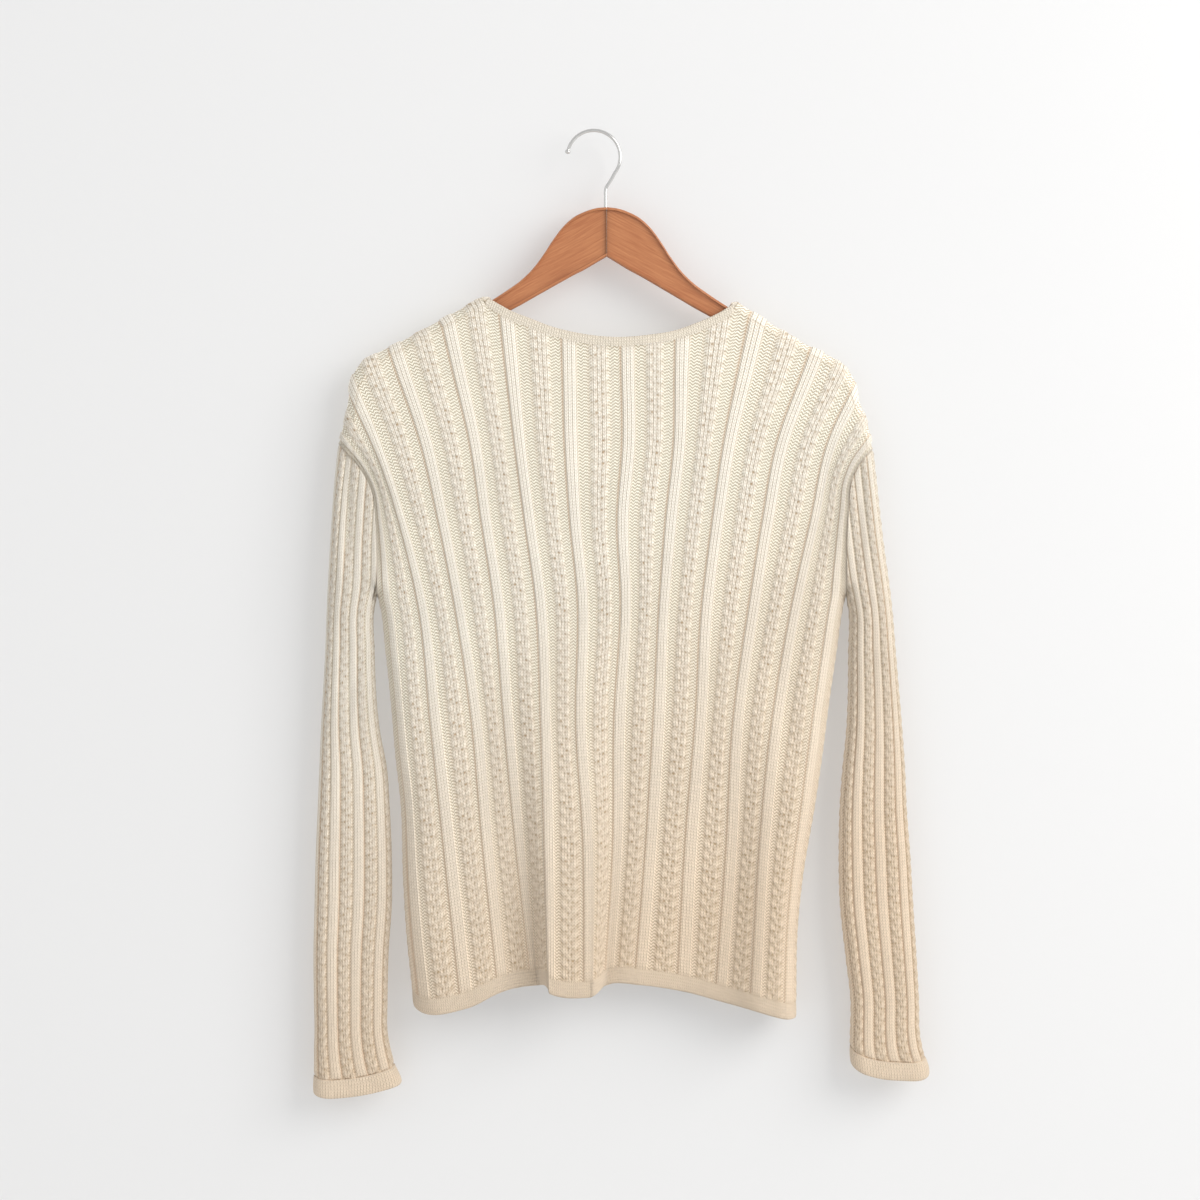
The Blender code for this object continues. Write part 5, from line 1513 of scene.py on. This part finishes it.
@dataclass
class Sleeves(Cloth):
    """Both sleeves and their cuff bands."""

    level: float = -520.0      # height below which the rows spread down to the slanting cuff
    lower_rows: int = 170
    upper_rows: int = 96
    cuff_band: float = 17.0
    plait_width: float = 4.0   # of a ridge with a braid, and of a plain one, in wales
    rib_width: float = 5.2
    foot: float = 0.46         # half width of a ridge, as a share of its width
    top_pull: float = 2.0      # how far the armhole's seam and the cuff's flatten the ridges
    cuff_pull: float = 2.5

    def armhole_line(self, hand: Hand, side: Side) -> Array:
        """Armhole seam from the armpit to the notch, on the back or on the front."""
        cut = self.form.cut
        table = cut.armholes[hand.value]
        notch = np.array(table[-1], float)
        seam = np.array(cut.shoulders[hand.value][0][2:], float)
        top = notch[1] if side is Side.FRONT else seam[1]
        heights = np.linspace(cut.armpit, top, 40)
        line = np.stack([look_up(heights, table, 0, key=1), heights], -1)
        if side is Side.BACK:
            line = np.vstack([line, notch + (seam - notch) * 0.35, notch])
        return line

    def wall(self, z: Array, ring: tuple, hand: Hand, cuff: Array, top: Array | None = None) -> Wall:
        """Tube of cloth from the heights of its columns: a sleeve, or its cuff band where no top is given."""
        form, rib = self.form, RIBBING
        share, side, ridge, across, marks = ring
        side = side[:, None]
        x = form.sleeve_x(share[:, None], z, hand)
        edge = (np.isclose(share, 0) | np.isclose(share, 1))[:, None]
        points, normals = form.surface(x, z, side, hand, None, edge)
        along = z - cuff[:, None]
        widths = np.where(np.arange(4 * rib.sleeve_pairs + 1) % 2 == (hand is Hand.LEFT), self.plait_width,
                          self.rib_width)
        starts = np.append(0, np.cumsum(widths[:-1]))
        wales = starts[ridge] + widths[ridge] * (across + 1) / 2
        wales[-1] = starts[-1]
        if top is None:
            lift, full = rib.band_section(along / self.cuff_band)
            # the band's rolled lower edge gets painted shade
            return Wall(points, normals, lift, rib.rise + rib.wall - rib.band_sink, marks, every(5, z.shape[1]),
                        wales[:, None], along / rib.row, hollow_shade=0.2 * (1 - full), around=True)
        relief, raised = rib.sleeve_relief(ridge[:, None], across[:, None], along, hand)
        seam = np.maximum(bell(np.maximum(top[:, None] - z, 0), self.top_pull),
                          0.9 * bell(along - self.cuff_band, self.cuff_pull))
        creases = crease_push(x, z, SLEEVE_CREASES[hand]) * (side < 0)
        lift = relief * (1 - 0.8 * seam) - rib.sleeve_rise - 0.25 * seam - creases
        centres = (starts[:-1] + starts[1:]) / 2
        # painted shade along the armhole seam
        return Wall(points, normals, lift, rib.rise + rib.wall + 0.3, marks, every(4, z.shape[1]), wales[:, None],
                    along / rib.row, raised, 0.25 * bell(top[:, None] - z, 1.6), centres,
                    np.arange(len(centres)) % 2 != (hand is Hand.LEFT), self.foot * widths[ridge][:, None], True)

    def make(self, hand: Hand) -> None:
        """One sleeve and its cuff band."""
        cut, name = self.form.cut, hand.word.title()
        ring = RIBBING.sleeve_places(hand)
        share, side = ring[:2]
        lines = [self.armhole_line(hand, which) for which in (Side.BACK, Side.FRONT)]

        def within(z: Array) -> Array:
            """Marks the columns that lie on the sleeve's side of the armhole at their heights."""
            seam = np.where(side < 0, *[np.interp(z, line[:, 1], line[:, 0]) for line in lines])
            here = self.form.sleeve_x(share, z, hand)
            return here > seam if hand is Hand.RIGHT else here < seam

        low = halve(within, np.full(len(share), cut.armpit - 1.0), np.full(len(share), lines[0][-1, 1]))
        top = np.maximum(low, cut.armpit - 0.2)[:, None]
        cuff = look_up(share, cut.cuffs, 1 + hand.value)
        bottom = cuff[:, None] + self.cuff_band
        lower = bottom + np.linspace(0, 1, self.lower_rows)[:-1] * (self.level - bottom)
        upper = self.level + np.linspace(0, 1, self.upper_rows) * (top - self.level)
        wall = self.wall(np.hstack([lower, upper]), ring, hand, cuff, top[:, 0])
        self.keep(wall.build(name + "_sleeve_tube", self.rib_knit), "{0}_sleeve {0}_sleeve_forearm".format(hand.word),
                  "cream_rib_knit", (0.16, 0.58), 0.085, [name + "_front_panel", "Back_panel"])
        wall = self.wall(RIBBING.band_heights(cuff, self.cuff_band), ring, hand, cuff)
        self.keep(wall.build(name + "_cuff_band_tube", self.band_knit), hand.word + "_cuff_band", "cream_band_knit",
                  (0.22, 0.018), 0.0039, [name + "_sleeve_tube"])


# ---------------------------------------------------------------- hard pieces


@dataclass
class Buttons:
    """Seven round four-hole buttons down the over band."""

    form: Form
    heights: tuple[float, ...] = (-258, -343, -428, -513, -598, -683, -768)
    depth: float = 2.8
    hole_ring: float = 1.9
    hole: float = 0.75
    hole_depth: float = 1.1
    gap: float = 0.3           # over the band, and the height of the shank in it
    shank: float = 0.35
    turned: float = 0.12       # of each button against the one above it, in radians
    # distance from the middle and height of the front, then of the back
    rim: Table = ((0, 0.55), (4.6, 0.55), (5.4, 0.75), (6.1, 1.25), (7.0, 1.25), (7.35, 1.0), (7.5, 0.55))
    back: Table = ((7.5, -0.5), (7.2, -1.0), (6.6, -1.3), (0.02, -1.3))

    def make(self, shell: Material, yarn: Material) -> None:
        """Build each button and its sewing thread.

        The front is a disc in polar steps: a rim raised round a shallow dish, with four holes
        sunk as narrow bells.
        """
        turn = np.linspace(0, 2 * PI, 64, endpoint=False)
        reach = np.array([0.02, 0.4, 0.8, 1.1, 1.35, 1.6, 1.85, 2.1, 2.4, 2.7, 3.1, 3.8, 4.6, 5.2, 5.6, 6.1, 6.7, 7.1,
                          7.35, 7.5])
        face, back = np.interp(reach, *np.transpose(self.rim)), np.array(self.back)
        centre, front = self.form.cut.centre_front, self.gap + self.shank + self.depth / 2
        for n, height in enumerate(self.heights, 1):
            z = np.array([[float(height)]])
            folds = self.form.fold_depth(CENTRE_REPEAT, z, FRONT_FOLDS)
            points, _ = self.form.surface(np.array([[centre]]), z, Side.FRONT.value, "body", (folds, 0 * folds))
            y = points[0, 0, 1] + RIBBING.band_lift - RIBBING.band_sink + front
            r = np.append(reach, back[:, 0])[:, None]
            across, up = r * np.cos(turn), r * np.sin(turn)
            high = np.append(face, back[:, 1])[:, None] * np.ones(across.shape)
            for angle in self.turned * n + PI / 4 + np.arange(4) * PI / 2:
                off = np.hypot(across - self.hole_ring * math.cos(angle), up - self.hole_ring * math.sin(angle))
                high[:len(reach)] -= (self.hole_depth * bell(off, self.hole))[:len(reach)]
            place = np.stack([centre + across, y + high, height + up], -1)
            seat(grid_object("Button_%d" % n, place, shell, sharp=60), "cream_button", "button_%d" % n)
            self.thread(n, np.array([centre, y, height]), yarn)

    def thread(self, n: int, middle: Array, yarn: Material) -> None:
        """Two crossed strands of yarn, each an arch from a hole to the one opposite."""
        t = np.linspace(-1, 1, 13)
        turn = np.linspace(0, 2 * PI, 8, endpoint=False)[:, None]
        for k in range(2):
            angle = PI / 4 + k * PI / 2 + self.turned * n
            along = np.array([math.cos(angle), 0, math.sin(angle)])
            across = np.array([-math.sin(angle), 0, math.cos(angle)])
            line = middle + t[:, None] * self.hole_ring * along
            line[:, 1] += 0.75 + 0.35 * k - 1.3 * np.abs(t) ** 4
            ring = 0.42 * (np.cos(turn) * across + np.sin(turn) * np.array([0, 1, 0]))
            seat(grid_object("Thread_%d_%d" % (n, k + 1), line[:, None] + ring, yarn), "cream_band_knit")


@dataclass
class Hanger:
    """Two halves of the wooden arm."""

    middle: float = 9.0
    thick: float = 12.0
    edge: float = 2.4
    tilt: float = 0.012
    joint: float = 0.06
    tip_start: float = 188.0   # from there each arm rounds off to its end
    tip_end: float = 205.0
    grain_slope: float = 28.0
    # distance from the middle, upper edge, lower edge
    arm: Table = (
        (0, -69.7, -115), (10, -70.8, -121), (20, -74, -127), (32, -80.5, -133.3), (41, -89, -138.4),
        (50, -101, -143.6), (58, -113.5, -148.2), (68, -127, -154), (79, -138, -160.4), (93, -148.3, -168),
        (107, -157.5, -175.3), (116, -163, -180), (155, -183, -200.5), (188, -202.5, -217), (197, -207.5, -220),
        (202, -211, -219.5), (205, -215, -216.5))

    def make(self, wood: Material) -> None:
        """Build each half as rounded slices across the arm, carried from the joint to its tip.

        A slice is a rounded rectangle: its corner points follow a quarter circle of the edge's
        radius, or of half the slice's height where that is less.
        """
        tip = self.tip_end - self.tip_start
        r = np.unique(np.concatenate([np.linspace(self.joint, self.tip_start, 150),
                                      self.tip_end - tip * np.cos(np.linspace(0, PI / 2, 22))]))
        upper, lower = (look_up(r, self.arm, n) for n in (1, 2))
        thin = np.sqrt(np.maximum(0.02, 1 - ((r - self.tip_start) / (tip + 0.2)).clip(0) ** 2))
        deep = np.minimum(self.thick / 2, thin * self.thick / 2)
        turn = np.linspace(0, PI / 2, 7)
        for hand in Hand:
            sign = 1 if hand is Hand.RIGHT else -1
            high, low = upper - sign * self.tilt * r, lower - sign * self.tilt * r
            middle, half = (high + low) / 2, (high - low) / 2
            bend = np.minimum(np.minimum(self.edge, half * 0.98), deep * 0.98)
            rows = []
            for up, out in ((1, 1), (1, -1), (-1, -1), (-1, 1)):
                angle = turn if up * out > 0 else turn[::-1]
                z = middle[:, None] + up * (half[:, None] - bend[:, None] * (1 - np.cos(angle)))
                y = out * (deep[:, None] - bend[:, None] * (1 - np.sin(angle)))
                rows.append(np.stack([y, z], -1))
            corner = np.concatenate(rows, 1)
            x = self.middle + sign * r[:, None] * np.ones(corner.shape[:2])
            points = np.stack([x, corner[..., 0], corner[..., 1]], -1)
            slope = math.radians(self.grain_slope)
            along = r[:, None] * math.cos(slope) - points[..., 2] * math.sin(slope) + (300 if sign > 0 else 0)
            over = -points[..., 2] * math.cos(slope) - r[:, None] * math.sin(slope) + points[..., 1] * 0.6
            uv = np.stack([along, over], -1)
            uv = np.concatenate([uv, uv[:, :1]], 1)
            obj = grid_object("Hanger_arm_" + hand.word, points, wood, uv=uv)
            seat(obj, "brown_wood", "hanger_" + hand.word)


@dataclass
class Hook:
    """Bent wire with a ball at its tip."""

    wire: float = 3.2
    radius: float = 24.5
    centre: tuple[float, float] = (-3.0, -22.9)
    start: float = 161.0
    end: float = -38.0
    stem: float = 8.0
    bottom: float = -69.9
    tip: Table = ((5.35, 0.05), (5.3, 0.5), (5.0, 1.0), (4.3, 1.45), (3.4, 1.6), (2.5, 1.45), (1.8, 1.1), (1.3, 0.98),
                  (0.8, 1.0))

    def make(self, metal: Material) -> None:
        """Carry a circle along the wire: ball, arc over the peg, bend back and straight stem.

        The profile's frame is the path's own sideways direction in the hanger's plane and the
        direction out of that plane.
        """
        cx, cz = self.centre
        swell = [(self.start + math.degrees(along / self.radius), size) for along, size in self.tip]
        angles = np.radians([a for a, _ in swell] + list(np.linspace(self.start, self.end, 70)))
        arc = np.stack([cx + self.radius * np.cos(angles), cz + self.radius * np.sin(angles)], -1)
        bend = smooth_line([arc[-9], arc[-1], (12.2, -45.5), (8.9, -50.6), (self.stem, -54.6), (self.stem, -60)], 8)[9:]
        route = np.vstack([arc, bend, [(self.stem, self.bottom)]])
        sizes = np.array([size for _, size in swell] + [1.0] * (len(route) - len(swell)))
        runs = np.gradient(route, axis=0)
        runs /= np.linalg.norm(runs, axis=1, keepdims=True)
        turn = np.linspace(0, 2 * PI, 24, endpoint=False)
        wide = (self.wire / 2 * sizes)[:, None, None]
        across = np.stack([runs[:, 1], np.zeros(len(runs)), -runs[:, 0]], -1)[:, None]
        ring = np.cos(turn)[:, None] * across + np.sin(turn)[:, None] * np.array([0.0, 1.0, 0.0])
        points = np.stack([route[:, 0], np.zeros(len(route)), route[:, 1]], -1)[:, None] + wide * ring
        seat(grid_object("Hook_wire", points, metal, sharp=60), "chrome_wire", "hook")


# ---------------------------------------------------------------- studio


@dataclass
class Studio:
    """Wall close behind, floor below the view, soft lights and the camera."""

    view_middle: tuple[float, float] = (2.8, -432.8)
    view_width: float = 1110.0
    far: float = 4.0
    wall_y: float = 0.026
    floor_z: float = -1.32

    def sheet(self, name: str, corners: list[Point], material: Material) -> Object:
        """Flat stage piece from four corners."""
        mesh = bpy.data.meshes.new(name)
        mesh.from_pydata(corners, [], [(0, 1, 2, 3)])
        mesh.materials.append(material)
        obj = link(name, mesh)
        return obj

    def lamp(self, name: str, place: Point, aim: Point, size: float, power: float,
             colour: Colour = (1.0, 1.0, 1.0)) -> None:
        """Square area lamp turned to a point."""
        data = bpy.data.lights.new(name, "AREA")
        data.size, data.energy, data.color = size, power, colour
        lamp = link(name, data)
        lamp.location = place
        away = np.array(aim) - np.array(place)
        lamp.rotation_euler = (math.atan2(math.hypot(away[0], away[1]), -away[2]), 0, math.atan2(-away[0], away[1]))

    def make(self, wall: Material, floor: Material) -> None:
        """Build the stage, the lights, the sky's even glow and the camera."""
        y, z = self.wall_y, self.floor_z
        back = self.sheet("Wall", [(-2.4, y, z), (2.4, y, z), (2.4, y, 1.6), (-2.4, y, 1.6)], wall)
        back.visible_shadow = False
        self.sheet("Floor", [(-4, -4, z), (4, -4, z), (4, 4, z), (-4, 4, z)], floor)
        self.lamp("Key", (3.0, -2.6, 1.3), (0.0, 0, -0.4), 3.0, 119.0, (1.0, 0.99, 0.975))
        self.lamp("Side", (1.55, -0.55, 0.1), (0.3, 0.05, -0.4), 0.9, 5.8)
        self.lamp("Fill", (-1.8, -2.4, 0.2), (0, 0, -0.45), 2.0, 6.0)
        self.lamp("Behind", (-0.8, 2.4, 0.6), (0, 0, -0.45), 1.8, 38.0)
        world = bpy.data.worlds.new("Even_glow")
        world.use_nodes = True
        glow = world.node_tree.nodes["Background"]
        glow.inputs["Color"].default_value = (0.97, 0.985, 1.0, 1.0)
        glow.inputs["Strength"].default_value = 0.73
        bpy.context.scene.world = world
        bpy.context.scene.view_settings.view_transform = "Standard"
        data = bpy.data.cameras.new("View")
        data.sensor_width = 36.0
        data.lens = 36.0 * self.far / (self.view_width * MM)
        camera = link("View", data)
        camera.location = (self.view_middle[0] * MM, -self.far, self.view_middle[1] * MM)
        camera.rotation_euler = (PI / 2, 0, 0)
        bpy.context.scene.camera = camera


# ---------------------------------------------------------------- all together


def main() -> None:
    """Load the frame and build each piece in order, logging each one's faces."""
    logging.basicConfig(level=logging.INFO, format="%(name)s: %(message)s")
    for old in list(bpy.data.objects):
        bpy.data.objects.remove(old)
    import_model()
    dyer = Dyer()
    form = Form(Cut())
    rib_knit = KnitFinish("rib_knit").make(dyer)
    band_knit = KnitFinish("band_knit", light=(0.945, 0.87, 0.745), stitch_relief=0.0008, ridged=False).make(dyer)
    panels = Panels(form, rib_knit, band_knit)
    panels.make_back()
    for hand in Hand:
        panels.make_front(hand)
    panels.make_neck_band()
    panels.make_front_bands()
    sleeves = Sleeves(form, rib_knit, band_knit)
    for hand in Hand:
        sleeves.make(hand)
    Buttons(form).make(ButtonFinish().make(dyer), band_knit)
    Hanger().make(WoodFinish().make(dyer))
    Hook().make(WireFinish().make(dyer))
    Studio().make(WallFinish("wall_paint").make(dyer), WallFinish("floor_paint", one_sided=False).make(dyer))


if __name__ == "__main__":
    main()
